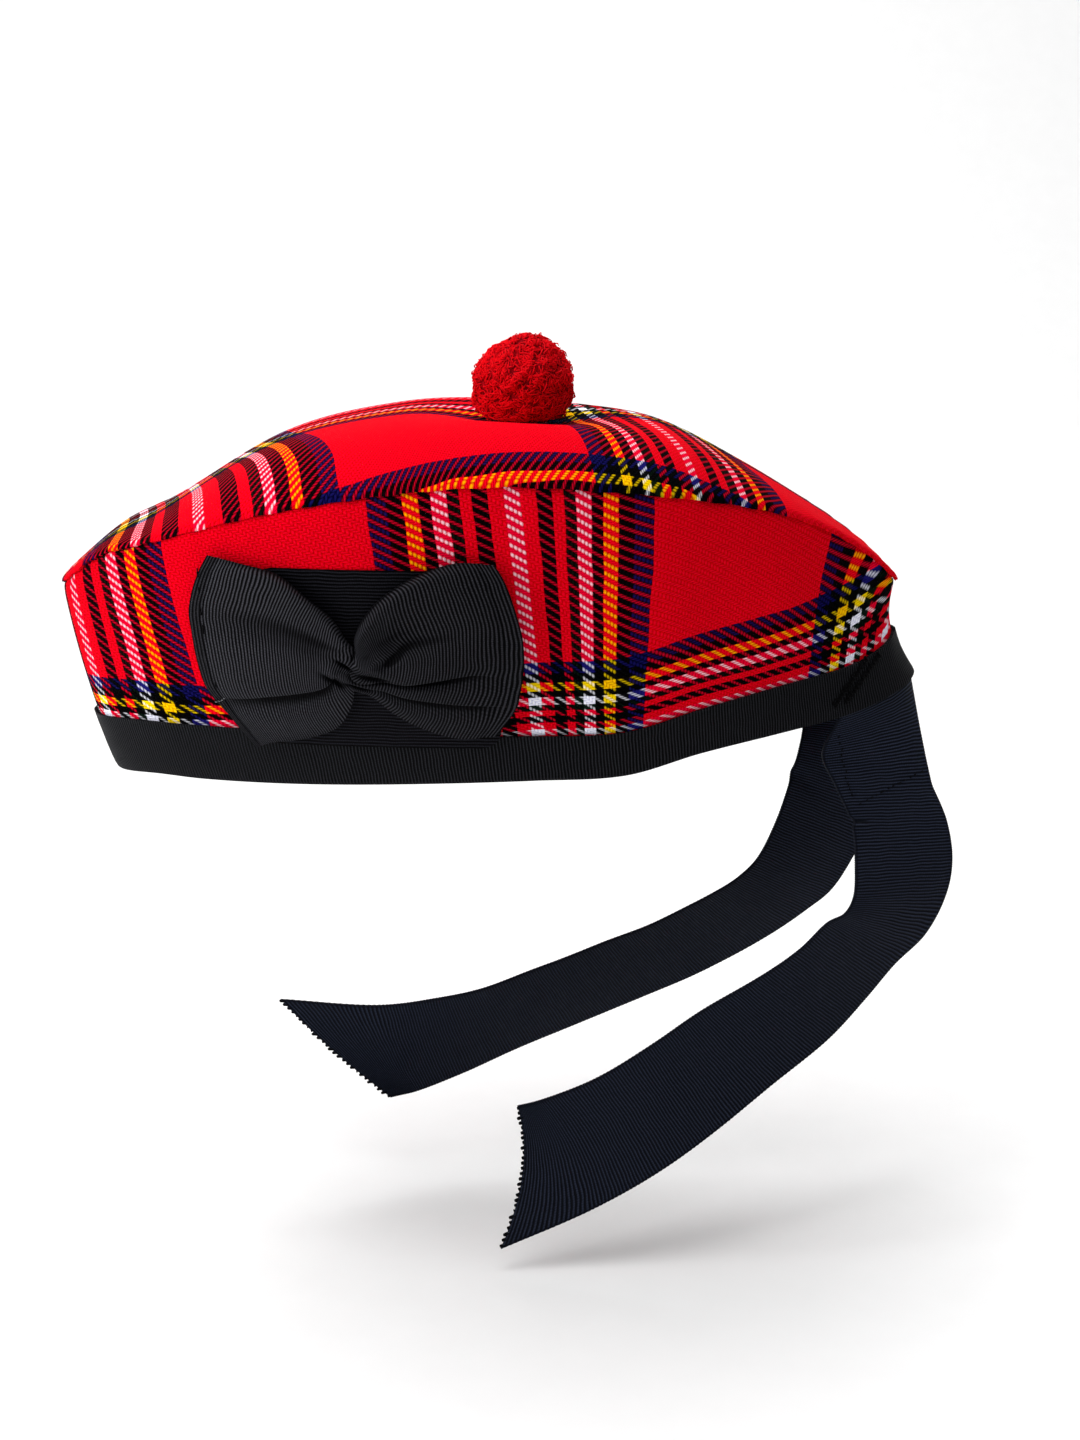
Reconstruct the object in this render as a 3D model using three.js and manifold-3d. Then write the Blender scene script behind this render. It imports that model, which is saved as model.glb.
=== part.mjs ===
import * as THREE from 'three';
import { mergeVertices } from 'three/addons/utils/BufferGeometryUtils.js';
import Module from 'manifold-3d';

// A soft tartan hat with a boxy side wall, a puffed oval crown with a pompom, a ribbon band round
// the head opening, a ribbon cockade on the wearer's left and two ribbon tails at the back.
// Millimetres, +Z up. The front of the hat is at -X, the back at +X and the cockade at -Y.
// The origin is the centre of the head opening, level with the front of the rim.

const wasm = await Module();
wasm.setup();

// Head opening and crown seam, seen from above as two long ovals
const RIM_LENGTH = 257;
const RIM_WIDTH = 98;
const SEAM_LENGTH = 268;
const SEAM_WIDTH = 130;
const SEAM_SHIFT = -11;
const PLAN_FULLNESS = 0.9;

// Heights above the front of the rim
const SIDE_HEIGHT = 102;
const REAR_RISE = 31;
const CROWN_PUFF = 13;
const CROWN_SHOULDER = 4.5;
const SIDE_BELLY = 3;
const DIMPLE_DEPTH = 6.5;
const DIMPLE_WIDTH = 46;

// Cloth, ribbon and the clearance between neighbours
const CLOTH = 2;
const RIBBON = 1;
const GAP = 0.3;
const BAND_HEIGHT = 19;

// Pompom on the crown
const POMPOM_WIDTH = 34;
const POMPOM_HEIGHT = 30;
const POMPOM_AFT = 2;
const CORE_MARGIN = 1.5;
const TUFT_SIZE = 8;
const TUFT_COUNT = 44;

// Cockade: a pinched bow on a flat backing, placed by its knot on the side wall
const KNOT_FORWARD = 48.5;
const KNOT_HEIGHT = 45;
const BOW_LENGTH = 100;
const BOW_HEIGHT = 61;
const PINCH_HEIGHT = 15;
const BOW_THICKNESS = 1.5;
const BOW_PUFF = 5;
const KNOT_LIFT = 4;
const KNOT_SPREAD = 0.12;
const PLEAT_DEPTH = 1.6;
const PLEAT_COUNT = 4;
const TOP_BELLY = 9;
const BOTTOM_BELLY = 4;
const BACKING_LENGTH = 74;
const BACKING_HEIGHT = 56;
const BACKING_AFT = 7;
const BACKING_RISE = 2.5;
const BACKING_CORNER = 6;

// Ribbon tails, sewn under the band on each side of the back
const TAIL_WIDTH = 37;
const LEFT_TAIL_REACH = 117;
const LEFT_TAIL_DROP = 146;
const LEFT_TAIL_SPREAD = 38;
const RIGHT_TAIL_REACH = 174;
const RIGHT_TAIL_DROP = 131;
const RIGHT_TAIL_SPREAD = 13;
const LEFT_TAIL_HOLLOW = 4.5;
const RIGHT_TAIL_HOLLOW = -1.8;
const TAIL_HANG = 0.22;
const TAIL_CUT = 0.2;
const TAIL_SEAT_FRONT = 142;
const TAIL_SEAT_BACK = 174;

// Mesh divisions
const LOOP_STEPS = 64;
const BAND_STEPS = 2;
const WALL_STEPS = 7;
const SEAM_INSET = 0.002;
const CROWN_RINGS = [0, 0.1, 0.2, 0.35, 0.55, 0.73, 0.88, 1];
const BOW_STEPS = 28;
const BOW_ROWS = 12;
const BACKING_STEPS = 10;
const BACKING_ROWS = 8;
const TAIL_STEPS = 38;
const TAIL_ROWS = 4;
const CORE_STEPS = 16;
const CORE_RINGS = 10;
const WELD = 1e-3;

// Search for a place on the side wall: rounds, and the range of angles it stays in
const SEARCH_ROUNDS = 12;
const SEARCH_FROM = 0.2;
const SEARCH_TO = 2.9;

// Stations along the hat. along runs from the front to the back of each oval, rim is a share of
// REAR_RISE, seam of SIDE_HEIGHT, width of the seam's oval, puff of CROWN_PUFF, belly of SIDE_BELLY
// and band of BAND_HEIGHT.
const STATIONS = [
  { along: 0.00, rim: 0.00, seam: 0.610, width: 0.88, puff: 0.00, belly: 0.6, band: 0.98 },
  { along: 0.06, rim: 0.09, seam: 0.735, width: 0.91, puff: 0.04, belly: 0.7, band: 1.00 },
  { along: 0.12, rim: 0.11, seam: 0.795, width: 0.95, puff: 0.18, belly: 0.8, band: 1.00 },
  { along: 0.26, rim: 0.15, seam: 0.907, width: 1.00, puff: 1.00, belly: 1.0, band: 0.96 },
  { along: 0.40, rim: 0.20, seam: 0.975, width: 1.00, puff: 1.18, belly: 1.0, band: 0.86 },
  { along: 0.52, rim: 0.24, seam: 1.000, width: 1.00, puff: 1.12, belly: 1.0, band: 0.81 },
  { along: 0.63, rim: 0.28, seam: 0.985, width: 1.00, puff: 1.05, belly: 0.9, band: 0.80 },
  { along: 0.72, rim: 0.48, seam: 0.955, width: 0.96, puff: 0.92, belly: 0.5, band: 0.79 },
  { along: 0.82, rim: 0.64, seam: 0.895, width: 0.80, puff: 0.38, belly: 0.0, band: 0.79 },
  { along: 0.90, rim: 0.75, seam: 0.808, width: 0.62, puff: 0.08, belly: -0.5, band: 0.78 },
  { along: 0.96, rim: 0.88, seam: 0.706, width: 0.52, puff: 0.02, belly: -1.1, band: 0.76 },
  { along: 1.00, rim: 1.00, seam: 0.610, width: 0.48, puff: 0.00, belly: -1.6, band: 0.74 },
];

// Free edge of each bow wing, from its lower to its upper corner. reach is a share of half of
// BOW_LENGTH from the knot, rise a share of half of BOW_HEIGHT above it.
const FRONT_WING = [
  { up: 0.00, reach: 0.62, rise: -0.91 },
  { up: 0.16, reach: 0.75, rise: -0.68 },
  { up: 0.32, reach: 0.87, rise: -0.42 },
  { up: 0.48, reach: 0.95, rise: -0.11 },
  { up: 0.72, reach: 0.99, rise: 0.40 },
  { up: 0.84, reach: 0.98, rise: 0.66 },
  { up: 1.00, reach: 0.87, rise: 1.09 },
];
const REAR_WING = [
  { up: 0.00, reach: 0.86, rise: -0.70 },
  { up: 0.18, reach: 0.99, rise: -0.38 },
  { up: 0.45, reach: 1.01, rise: 0.10 },
  { up: 0.62, reach: 1.00, rise: 0.38 },
  { up: 0.80, reach: 0.93, rise: 0.68 },
  { up: 1.00, reach: 0.79, rise: 1.12 },
];

// Sections down each tail below its seat. reach runs forward, drop down and spread sideways, as
// shares of that tail's named sizes. turn and lean are the angles in degrees of the line across
// the ribbon, about Y and out of the side view, and width is its share of TAIL_WIDTH.
const LEFT_TAIL = [
  { reach: 0.01, drop: 0.10, spread: 0.13, turn: 3, lean: 24, width: 1 },
  { reach: -0.02, drop: 0.18, spread: 0.24, turn: -5, lean: 26, width: 1 },
  { reach: -0.06, drop: 0.26, spread: 0.35, turn: -7, lean: 26, width: 1 },
  { reach: -0.07, drop: 0.34, spread: 0.44, turn: -5, lean: 25, width: 1 },
  { reach: -0.06, drop: 0.41, spread: 0.50, turn: -8, lean: 28, width: 1 },
  { reach: -0.02, drop: 0.47, spread: 0.55, turn: -25, lean: 30, width: 1 },
  { reach: 0.045, drop: 0.51, spread: 0.59, turn: -40, lean: 29, width: 1 },
  { reach: 0.12, drop: 0.57, spread: 0.64, turn: -44, lean: 26, width: 1 },
  { reach: 0.225, drop: 0.64, spread: 0.71, turn: -44, lean: 19, width: 1 },
  { reach: 0.375, drop: 0.725, spread: 0.78, turn: -49, lean: 11, width: 1 },
  { reach: 0.515, drop: 0.81, spread: 0.84, turn: -56, lean: 4, width: 1 },
  { reach: 0.68, drop: 0.895, spread: 0.90, turn: -59, lean: 0, width: 1.02 },
  { reach: 0.84, drop: 0.955, spread: 0.95, turn: -67, lean: 0, width: 1.1 },
  { reach: 0.99, drop: 1.00, spread: 1.00, turn: -96, lean: 0, width: 1.32 },
];
const RIGHT_TAIL = [
  { reach: -0.01, drop: 0.10, spread: 0.00, turn: 6, lean: -20, width: 1 },
  { reach: 0.00, drop: 0.22, spread: -0.10, turn: -14, lean: 8, width: 1 },
  { reach: 0.03, drop: 0.33, spread: -0.10, turn: -23, lean: 20, width: 1 },
  { reach: 0.065, drop: 0.45, spread: -0.08, turn: -29, lean: 24, width: 1 },
  { reach: 0.105, drop: 0.55, spread: -0.04, turn: -31, lean: 28, width: 1 },
  { reach: 0.145, drop: 0.60, spread: 0.00, turn: -35, lean: 31, width: 1 },
  { reach: 0.20, drop: 0.65, spread: 0.08, turn: -45, lean: 33, width: 1 },
  { reach: 0.325, drop: 0.74, spread: 0.23, turn: -54, lean: 33, width: 1 },
  { reach: 0.44, drop: 0.797, spread: 0.38, turn: -58, lean: 32, width: 1 },
  { reach: 0.565, drop: 0.86, spread: 0.54, turn: -63, lean: 32, width: 1 },
  { reach: 0.68, drop: 0.92, spread: 0.69, turn: -68, lean: 31, width: 1 },
  { reach: 0.775, drop: 0.963, spread: 0.77, turn: -74, lean: 23, width: 1 },
  { reach: 0.88, drop: 0.996, spread: 0.86, turn: -71, lean: 11, width: 1 },
  { reach: 1.00, drop: 0.99, spread: 1.00, turn: -44, lean: 0, width: 1.39 },
];

const lerp = THREE.MathUtils.lerp;
const clamp = THREE.MathUtils.clamp;
const radians = THREE.MathUtils.degToRad;

// Reads one column of a table at a place between its rows, along a smooth curve through them.
function readTable(rows, key, column, place) {
  const at = clamp(place, rows[0][key], rows[rows.length - 1][key]);
  let low = 0;
  while (low < rows.length - 2 && rows[low + 1][key] < at) {
    low += 1;
  }
  const slope = (index) => {
    const before = rows[Math.max(index - 1, 0)];
    const after = rows[Math.min(index + 1, rows.length - 1)];
    return (after[column] - before[column]) / (after[key] - before[key]);
  };
  const from = rows[low];
  const to = rows[low + 1];
  const span = to[key] - from[key];
  const t = (at - from[key]) / span;
  const rise = t * t * (3 - 2 * t);
  const leave = slope(low) * span * t * (1 - t) * (1 - t);
  const arrive = slope(low + 1) * span * t * t * (1 - t);
  return lerp(from[column], to[column], rise) + leave - arrive;
}

// Closes two grids of points, one on each face of a wall, into one solid body.
function closedBody(outer, inner, columns, rows, loops) {
  const points = [];
  const index = [];
  const across = loops ? columns : columns + 1;
  for (const face of [outer, inner]) {
    for (let column = 0; column < across; column += 1) {
      for (let row = 0; row <= rows; row += 1) {
        points.push(...face(column / columns, row / rows).toArray());
      }
    }
  }
  const at = (face, column, row) => (face * across + (column % across)) * (rows + 1) + row;
  const quad = (a, b, c, d) => index.push(a, b, c, a, c, d);
  for (let column = 0; column < columns; column += 1) {
    const next = column + 1;
    for (let row = 0; row < rows; row += 1) {
      quad(at(0, column, row), at(0, next, row), at(0, next, row + 1), at(0, column, row + 1));
      quad(at(1, column, row), at(1, column, row + 1), at(1, next, row + 1), at(1, next, row));
    }
    quad(at(0, column, 0), at(1, column, 0), at(1, next, 0), at(0, next, 0));
    quad(at(0, column, rows), at(0, next, rows), at(1, next, rows), at(1, column, rows));
  }
  if (!loops) {
    for (let row = 0; row < rows; row += 1) {
      quad(at(0, 0, row), at(0, 0, row + 1), at(1, 0, row + 1), at(1, 0, row));
      quad(at(0, columns, row), at(1, columns, row), at(1, columns, row + 1), at(0, columns, row + 1));
    }
  }
  return cleanGeometry(points, index);
}

// Merges points that coincide, drops faces that they flatten and turns the faces outwards.
function cleanGeometry(points, index) {
  const raw = new THREE.BufferGeometry();
  raw.setAttribute('position', new THREE.Float32BufferAttribute(points, 3));
  raw.setIndex(index);
  const merged = mergeVertices(raw, WELD);
  const place = merged.getAttribute('position');
  const corner = (vertex) => new THREE.Vector3().fromBufferAttribute(place, vertex);
  const kept = [];
  let volume = 0;
  for (let first = 0; first < merged.index.count; first += 3) {
    const [a, b, c] = [0, 1, 2].map((step) => merged.index.getX(first + step));
    if (a !== b && b !== c && c !== a) {
      kept.push([a, b, c]);
      volume += corner(a).dot(corner(b).cross(corner(c)));
    }
  }
  const turned = kept.map(([a, b, c]) => (volume > 0 ? [a, b, c] : [a, c, b]));
  merged.setIndex(turned.flat());
  merged.computeVertexNormals();
  return merged;
}

function station(column, along) {
  return readTable(STATIONS, 'along', column, along);
}

// Angles run round the hat from 0 at the front past the cockade side to PI at the back.
function shareAlong(angle) {
  return (1 - Math.cos(angle)) / 2;
}

function rimHeight(along) {
  return REAR_RISE * station('rim', along);
}

function seamHeight(along) {
  return SIDE_HEIGHT * station('seam', along);
}

function bandHeight(along) {
  return BAND_HEIGHT * station('band', along);
}

// One oval of the plan at an angle, where a share of 0 is the rim and 1 the crown seam.
function planPoint(angle, share) {
  const halfLength = lerp(RIM_LENGTH, SEAM_LENGTH, share) / 2;
  const seamWidth = SEAM_WIDTH * station('width', shareAlong(angle));
  const halfWidth = lerp(RIM_WIDTH, seamWidth, share) / 2;
  const across = Math.sin(angle);
  const bulged = Math.sign(across) * Math.abs(across) ** PLAN_FULLNESS;
  return new THREE.Vector3(SEAM_SHIFT * share - halfLength * Math.cos(angle), -halfWidth * bulged, 0);
}

function planNormal(angle, share) {
  const step = 0.01;
  const run = planPoint(angle + step, share).sub(planPoint(angle - step, share)).normalize();
  return new THREE.Vector3(run.y, -run.x, 0);
}

// A point on the side wall at a height above its rim, moved out of the wall by a lift.
function wallPoint(angle, height, lift) {
  const along = shareAlong(angle);
  const low = rimHeight(along);
  const share = height / (seamHeight(along) - low);
  const belly = SIDE_BELLY * station('belly', along) * 4 * share * (1 - share);
  const point = planPoint(angle, share);
  point.addScaledVector(planNormal(angle, share), belly + lift);
  point.z = low + height;
  return point;
}

// The side wall's rows follow the band's at its foot and are even above it.
function sideHeight(along, row) {
  const foot = RIBBON + GAP;
  const band = bandHeight(along);
  const top = seamHeight(along) - rimHeight(along) - CLOTH - GAP;
  if (row <= BAND_STEPS) {
    return lerp(foot, band, row / BAND_STEPS);
  }
  return lerp(band, top, (row - BAND_STEPS) / (WALL_STEPS - BAND_STEPS));
}

// One side panel. The two meet at a seam in front and one at the back.
function makeSide(sign) {
  const side = (lift) => (u, v) => {
    const angle = sign * lerp(SEAM_INSET, Math.PI - SEAM_INSET, u);
    const height = sideHeight(shareAlong(angle), Math.round(v * WALL_STEPS));
    const point = wallPoint(angle, height, lift);
    point.y = -sign * Math.max(-sign * point.y, GAP / 2);
    return point;
  };
  return closedBody(side(0), side(-CLOTH), LOOP_STEPS / 2, WALL_STEPS, false);
}

// The crown's upper face over a point of its plan: a flat top with soft shoulders, drawn down
// in a dimple where the pompom is sewn on.
function crownHeight(x, y) {
  const front = SEAM_SHIFT - SEAM_LENGTH / 2;
  const along = clamp((x - front) / SEAM_LENGTH, 0, 1);
  const angle = Math.acos(1 - 2 * along);
  const halfWidth = Math.max(-planPoint(angle, 1).y, 1e-6);
  const fall = Math.min(Math.abs(y) / halfWidth, 1) ** CROWN_SHOULDER;
  const away = Math.hypot(x - POMPOM_AFT, y) / (DIMPLE_WIDTH / 2);
  const dimple = DIMPLE_DEPTH * Math.exp(-(away ** 2));
  return seamHeight(along) + CROWN_PUFF * station('puff', along) * (1 - fall) - dimple;
}

function makeCrown() {
  const rings = CROWN_RINGS.length - 1;
  const crown = (drop) => (u, v) => {
    const seam = planPoint(u * 2 * Math.PI, 1);
    const ring = CROWN_RINGS[Math.round(v * rings)];
    const x = lerp(POMPOM_AFT, seam.x, ring);
    const y = seam.y * ring;
    return new THREE.Vector3(x, y, crownHeight(x, y) - drop);
  };
  return closedBody(crown(0), crown(CLOTH), LOOP_STEPS, rings, true);
}

// The band is one ribbon folded round the rim, with a leaf outside and a leaf inside the wall.
function makeBand() {
  const outside = GAP + RIBBON;
  const inside = -CLOTH - 2 * GAP;
  const rises = [1, 0.5, 0];
  const path = (inner, outer) => [
    ...rises.map((rise) => [inner, rise]),
    ...rises.map((rise) => [outer, rise]).reverse(),
  ];
  const outerPath = path(inside - RIBBON, outside);
  const innerPath = path(inside, GAP);
  const leaf = (corners, floor) => (u, v) => {
    const angle = u * 2 * Math.PI;
    const [lift, rise] = corners[Math.round(v * (corners.length - 1))];
    return wallPoint(angle, lerp(floor, bandHeight(shareAlong(angle)), rise), lift);
  };
  return closedBody(leaf(outerPath, 0), leaf(innerPath, RIBBON), LOOP_STEPS, outerPath.length - 1, true);
}

// Finds the wall at a distance along the hat and a height, on the cockade side.
function wallAt(x, z, lift) {
  let angle = Math.PI / 2;
  let point = wallPoint(angle, 0, lift);
  for (let round = 0; round < SEARCH_ROUNDS; round += 1) {
    point = wallPoint(angle, z - rimHeight(shareAlong(angle)), lift);
    const turn = (x - point.x) / (SEAM_LENGTH / 2 * Math.sin(angle));
    angle = clamp(angle + turn, SEARCH_FROM, SEARCH_TO);
  }
  return point;
}

// The backing lies on the wall at its top and over the band's edge at its foot.
function makeBacking() {
  const foot = RIBBON + 2.4 * GAP;
  const patch = (lift) => (u, v) => {
    const up = (v - 0.5) * BACKING_HEIGHT;
    const past = Math.max(Math.abs(up) - BACKING_HEIGHT / 2 + BACKING_CORNER, 0);
    const corner = BACKING_CORNER - Math.sqrt(Math.max(BACKING_CORNER ** 2 - past ** 2, 0));
    const x = -KNOT_FORWARD + BACKING_AFT + (u - 0.5) * (BACKING_LENGTH - 2 * corner);
    return wallAt(x, KNOT_HEIGHT + BACKING_RISE + up, lerp(foot, GAP, v) + lift);
  };
  return closedBody(patch(RIBBON), patch(0), BACKING_STEPS, BACKING_ROWS, false);
}

// The bow runs from its front wing through the pinch to its rear wing, fanned out from the knot.
function makeBow() {
  const rest = 3 * GAP + 2 * RIBBON;
  const bow = (lift) => (u, v) => {
    const rear = u > 0.5;
    const wing = rear ? REAR_WING : FRONT_WING;
    const out = Math.abs(2 * u - 1);
    const reach = (rear ? 1 : -1) * readTable(wing, 'up', 'reach', v) * BOW_LENGTH / 2;
    const rise = readTable(wing, 'up', 'rise', v) * BOW_HEIGHT / 2;
    const edge = 2 * v - 1;
    const belly = (edge > 0 ? TOP_BELLY : BOTTOM_BELLY) * edge * Math.sin(Math.PI * out);
    const up = lerp(edge * PINCH_HEIGHT / 2, rise, out) + belly;
    const pleats = PLEAT_DEPTH * (1 + Math.cos(2 * Math.PI * PLEAT_COUNT * v)) * (1 - out) ** 1.5;
    const puff = BOW_PUFF * Math.sin(Math.PI * Math.sqrt(out)) * Math.sin(Math.PI * v) ** 0.7;
    const knot = KNOT_LIFT * Math.exp(-((out / KNOT_SPREAD) ** 2)) * Math.sin(Math.PI * v);
    const x = -KNOT_FORWARD + reach * out;
    return wallAt(x, KNOT_HEIGHT + up, rest + pleats + puff + knot + lift);
  };
  return closedBody(bow(BOW_THICKNESS), bow(0), BOW_STEPS, BOW_ROWS, false);
}

// The line under the band that a tail hangs from, at a share across the ribbon.
function tailSeat(sign, share) {
  const angle = sign * radians(lerp(TAIL_SEAT_FRONT, TAIL_SEAT_BACK, share));
  const seat = wallPoint(angle, 0, -CLOTH / 2);
  seat.z -= 1.5 * GAP;
  return seat;
}

// A tail is lofted between its two edges: it follows the rim at its top and then runs straight
// across from edge to edge, and its cut end is hollowed between its corners.
function makeTail(sign, rows, reach, drop, spread, hollow) {
  const top = tailSeat(sign, 0).add(tailSeat(sign, 1)).multiplyScalar(0.5);
  const edges = [-0.5, 0.5].map((half) => {
    const places = [tailSeat(sign, half + 0.5)];
    for (const row of rows) {
      const turn = radians(row.turn);
      const lean = radians(row.lean);
      const line = new THREE.Vector3(Math.cos(turn) * Math.cos(lean), Math.sin(lean),
        Math.sin(turn) * Math.cos(lean));
      const middle = new THREE.Vector3(top.x - row.reach * reach, top.y - row.spread * spread,
        top.z - row.drop * drop);
      places.push(middle.addScaledVector(line, half * row.width * TAIL_WIDTH));
    }
    return new THREE.CatmullRomCurve3(places, false, 'centripetal');
  });
  const sheet = (u, v) => {
    const [left, right] = edges.map((edge) => edge.getPoint(u));
    const [leftRun, rightRun] = edges.map((edge) => edge.getTangent(u));
    const cut = -hollow * 4 * v * (1 - v) * THREE.MathUtils.smoothstep(u, 1 - TAIL_CUT, 1);
    const chord = tailSeat(sign, 0).lerp(tailSeat(sign, 1), v);
    const hang = 1 - THREE.MathUtils.smoothstep(u, 0, TAIL_HANG);
    const point = left.lerp(right, v).addScaledVector(leftRun.lerp(rightRun, v), cut);
    return point.addScaledVector(tailSeat(sign, v).sub(chord), hang);
  };
  const face = (side) => (u, v) => {
    const step = 0.01;
    const down = sheet(Math.min(u + step, 1), v).sub(sheet(Math.max(u - step, 0), v));
    const across = sheet(u, Math.min(v + step, 1)).sub(sheet(u, Math.max(v - step, 0)));
    const normal = across.cross(down).normalize();
    return sheet(u, v).addScaledVector(normal, side * RIBBON / 2);
  };
  return closedBody(face(1), face(-1), TAIL_STEPS, TAIL_ROWS, false);
}

function toManifold(geometry) {
  const bare = geometry.clone();
  bare.deleteAttribute('normal');
  bare.deleteAttribute('uv');
  const merged = mergeVertices(bare, WELD);
  return new wasm.Manifold(new wasm.Mesh({
    numProp: 3,
    vertProperties: new Float32Array(merged.getAttribute('position').array),
    triVerts: new Uint32Array(merged.index.array),
  }));
}

function fromManifold(solid) {
  const mesh = solid.getMesh();
  const geometry = new THREE.BufferGeometry();
  geometry.setAttribute('position', new THREE.BufferAttribute(mesh.vertProperties, 3));
  geometry.setIndex(new THREE.BufferAttribute(mesh.triVerts, 1));
  geometry.computeVertexNormals();
  return geometry;
}

// The pompom is a round core with tufts all over it, spaced by the golden angle and fused to it.
function makePompom() {
  const foot = crownHeight(POMPOM_AFT, 0) + 2.5 * GAP;
  const middle = new THREE.Vector3(POMPOM_AFT, 0, foot + POMPOM_HEIGHT / 2);
  const half = new THREE.Vector3(POMPOM_WIDTH, POMPOM_WIDTH, POMPOM_HEIGHT).multiplyScalar(0.5);
  const inner = half.clone().subScalar(TUFT_SIZE / 2);
  const round = inner.clone().addScalar(CORE_MARGIN);
  const core = new THREE.SphereGeometry(1, CORE_STEPS, CORE_RINGS).scale(round.x, round.y, round.z);
  let solid = toManifold(core.translate(middle.x, middle.y, middle.z));
  const golden = Math.PI * (3 - Math.sqrt(5));
  for (let tuft = 0; tuft < TUFT_COUNT; tuft += 1) {
    const height = 1 - 2 * (tuft + 0.5) / TUFT_COUNT;
    const wide = Math.sqrt(1 - height * height);
    const way = new THREE.Vector3(wide * Math.cos(golden * tuft), wide * Math.sin(golden * tuft), height);
    const ball = new THREE.OctahedronGeometry(TUFT_SIZE / 2, 1);
    const place = way.multiply(inner).add(middle);
    solid = solid.add(toManifold(ball.translate(place.x, place.y, place.z)));
  }
  const lowest = solid.boundingBox().min[2];
  return fromManifold(solid).translate(0, 0, foot - lowest);
}

const tartan = { color: 0xd8121f, roughness: 0.85, metalness: 0 };
const grosgrain = { color: 0x17181c, roughness: 0.6, metalness: 0 };
const wool = { color: 0xd0081a, roughness: 0.95, metalness: 0 };

const hat = new THREE.Group();

function addPiece(name, geometry, finish) {
  const piece = new THREE.Mesh(geometry, new THREE.MeshStandardMaterial(finish));
  piece.name = name;
  hat.add(piece);
}

addPiece('side_left', makeSide(1), tartan);
addPiece('side_right', makeSide(-1), tartan);
addPiece('crown', makeCrown(), tartan);
addPiece('band', makeBand(), grosgrain);
addPiece('cockade_backing', makeBacking(), grosgrain);
addPiece('cockade_bow', makeBow(), grosgrain);
addPiece('pompom', makePompom(), wool);
const leftTail = makeTail(1, LEFT_TAIL, LEFT_TAIL_REACH, LEFT_TAIL_DROP, LEFT_TAIL_SPREAD,
  LEFT_TAIL_HOLLOW);
const rightTail = makeTail(-1, RIGHT_TAIL, RIGHT_TAIL_REACH, RIGHT_TAIL_DROP, RIGHT_TAIL_SPREAD,
  RIGHT_TAIL_HOLLOW);
addPiece('tail_left', leftTail, grosgrain);
addPiece('tail_right', rightTail, grosgrain);

export default hat;
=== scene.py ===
# %% [markdown]
# A tartan hat with a pompom, a ribbon cockade and two ribbon tails, dressed over its imported model.
# The imported model comes first, because every piece below is laid where one of its nodes is.
# Its box is kept.

import bmesh
import bpy
import numpy as np
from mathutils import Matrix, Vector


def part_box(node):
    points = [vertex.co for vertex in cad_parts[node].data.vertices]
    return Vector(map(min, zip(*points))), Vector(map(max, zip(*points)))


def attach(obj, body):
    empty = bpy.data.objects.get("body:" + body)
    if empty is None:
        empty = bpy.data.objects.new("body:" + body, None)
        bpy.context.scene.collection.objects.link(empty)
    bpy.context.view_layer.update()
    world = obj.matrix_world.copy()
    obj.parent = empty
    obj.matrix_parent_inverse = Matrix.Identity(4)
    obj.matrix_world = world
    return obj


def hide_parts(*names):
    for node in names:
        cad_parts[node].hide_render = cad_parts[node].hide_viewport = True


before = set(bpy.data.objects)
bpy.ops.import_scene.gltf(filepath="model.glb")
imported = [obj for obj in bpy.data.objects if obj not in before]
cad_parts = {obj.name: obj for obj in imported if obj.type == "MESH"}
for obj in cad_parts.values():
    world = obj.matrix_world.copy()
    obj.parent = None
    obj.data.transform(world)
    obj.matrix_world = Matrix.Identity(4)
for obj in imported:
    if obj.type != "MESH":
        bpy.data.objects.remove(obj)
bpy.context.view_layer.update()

MM = 0.001
print("nodes:", ", ".join(sorted(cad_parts)))

# %% [markdown]
# The camera looks at the cockade side from a little above, as the photograph does. The hat sits
# high and to the left in the picture. The camera could be turned to put it there, but that would
# tilt the hat, so the lens is shifted instead. Lens and shift are worked out from the photograph's
# own pixels, and the same few values tell which pixel a point of the hat is seen at.

# %% Camera
PHOTO_HEIGHT = 1440
PHOTO_WIDTH = 1080
SENSOR = 36
FOCAL_PIXELS = 2170
TARGET = np.array([-8, 0, 52])
TARGET_PIXEL = np.array([490, 605])
CAMERA_DISTANCE = 700
CAMERA_ELEVATION = np.radians(12)


def seen_pixel(point):
    """The photo's pixel that the camera sees a point at: what it is off the target, to the right
    and up, times the lens and divided by the point's depth."""
    ahead = np.array([0, np.cos(CAMERA_ELEVATION), -np.sin(CAMERA_ELEVATION)])
    over = np.array([0, np.sin(CAMERA_ELEVATION), np.cos(CAMERA_ELEVATION)])
    off = point - TARGET
    depth = CAMERA_DISTANCE + off @ ahead
    right = TARGET_PIXEL[0] + FOCAL_PIXELS * off[..., 0] / depth
    return np.stack([right, TARGET_PIXEL[1] - FOCAL_PIXELS * (off @ over) / depth], -1)


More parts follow.
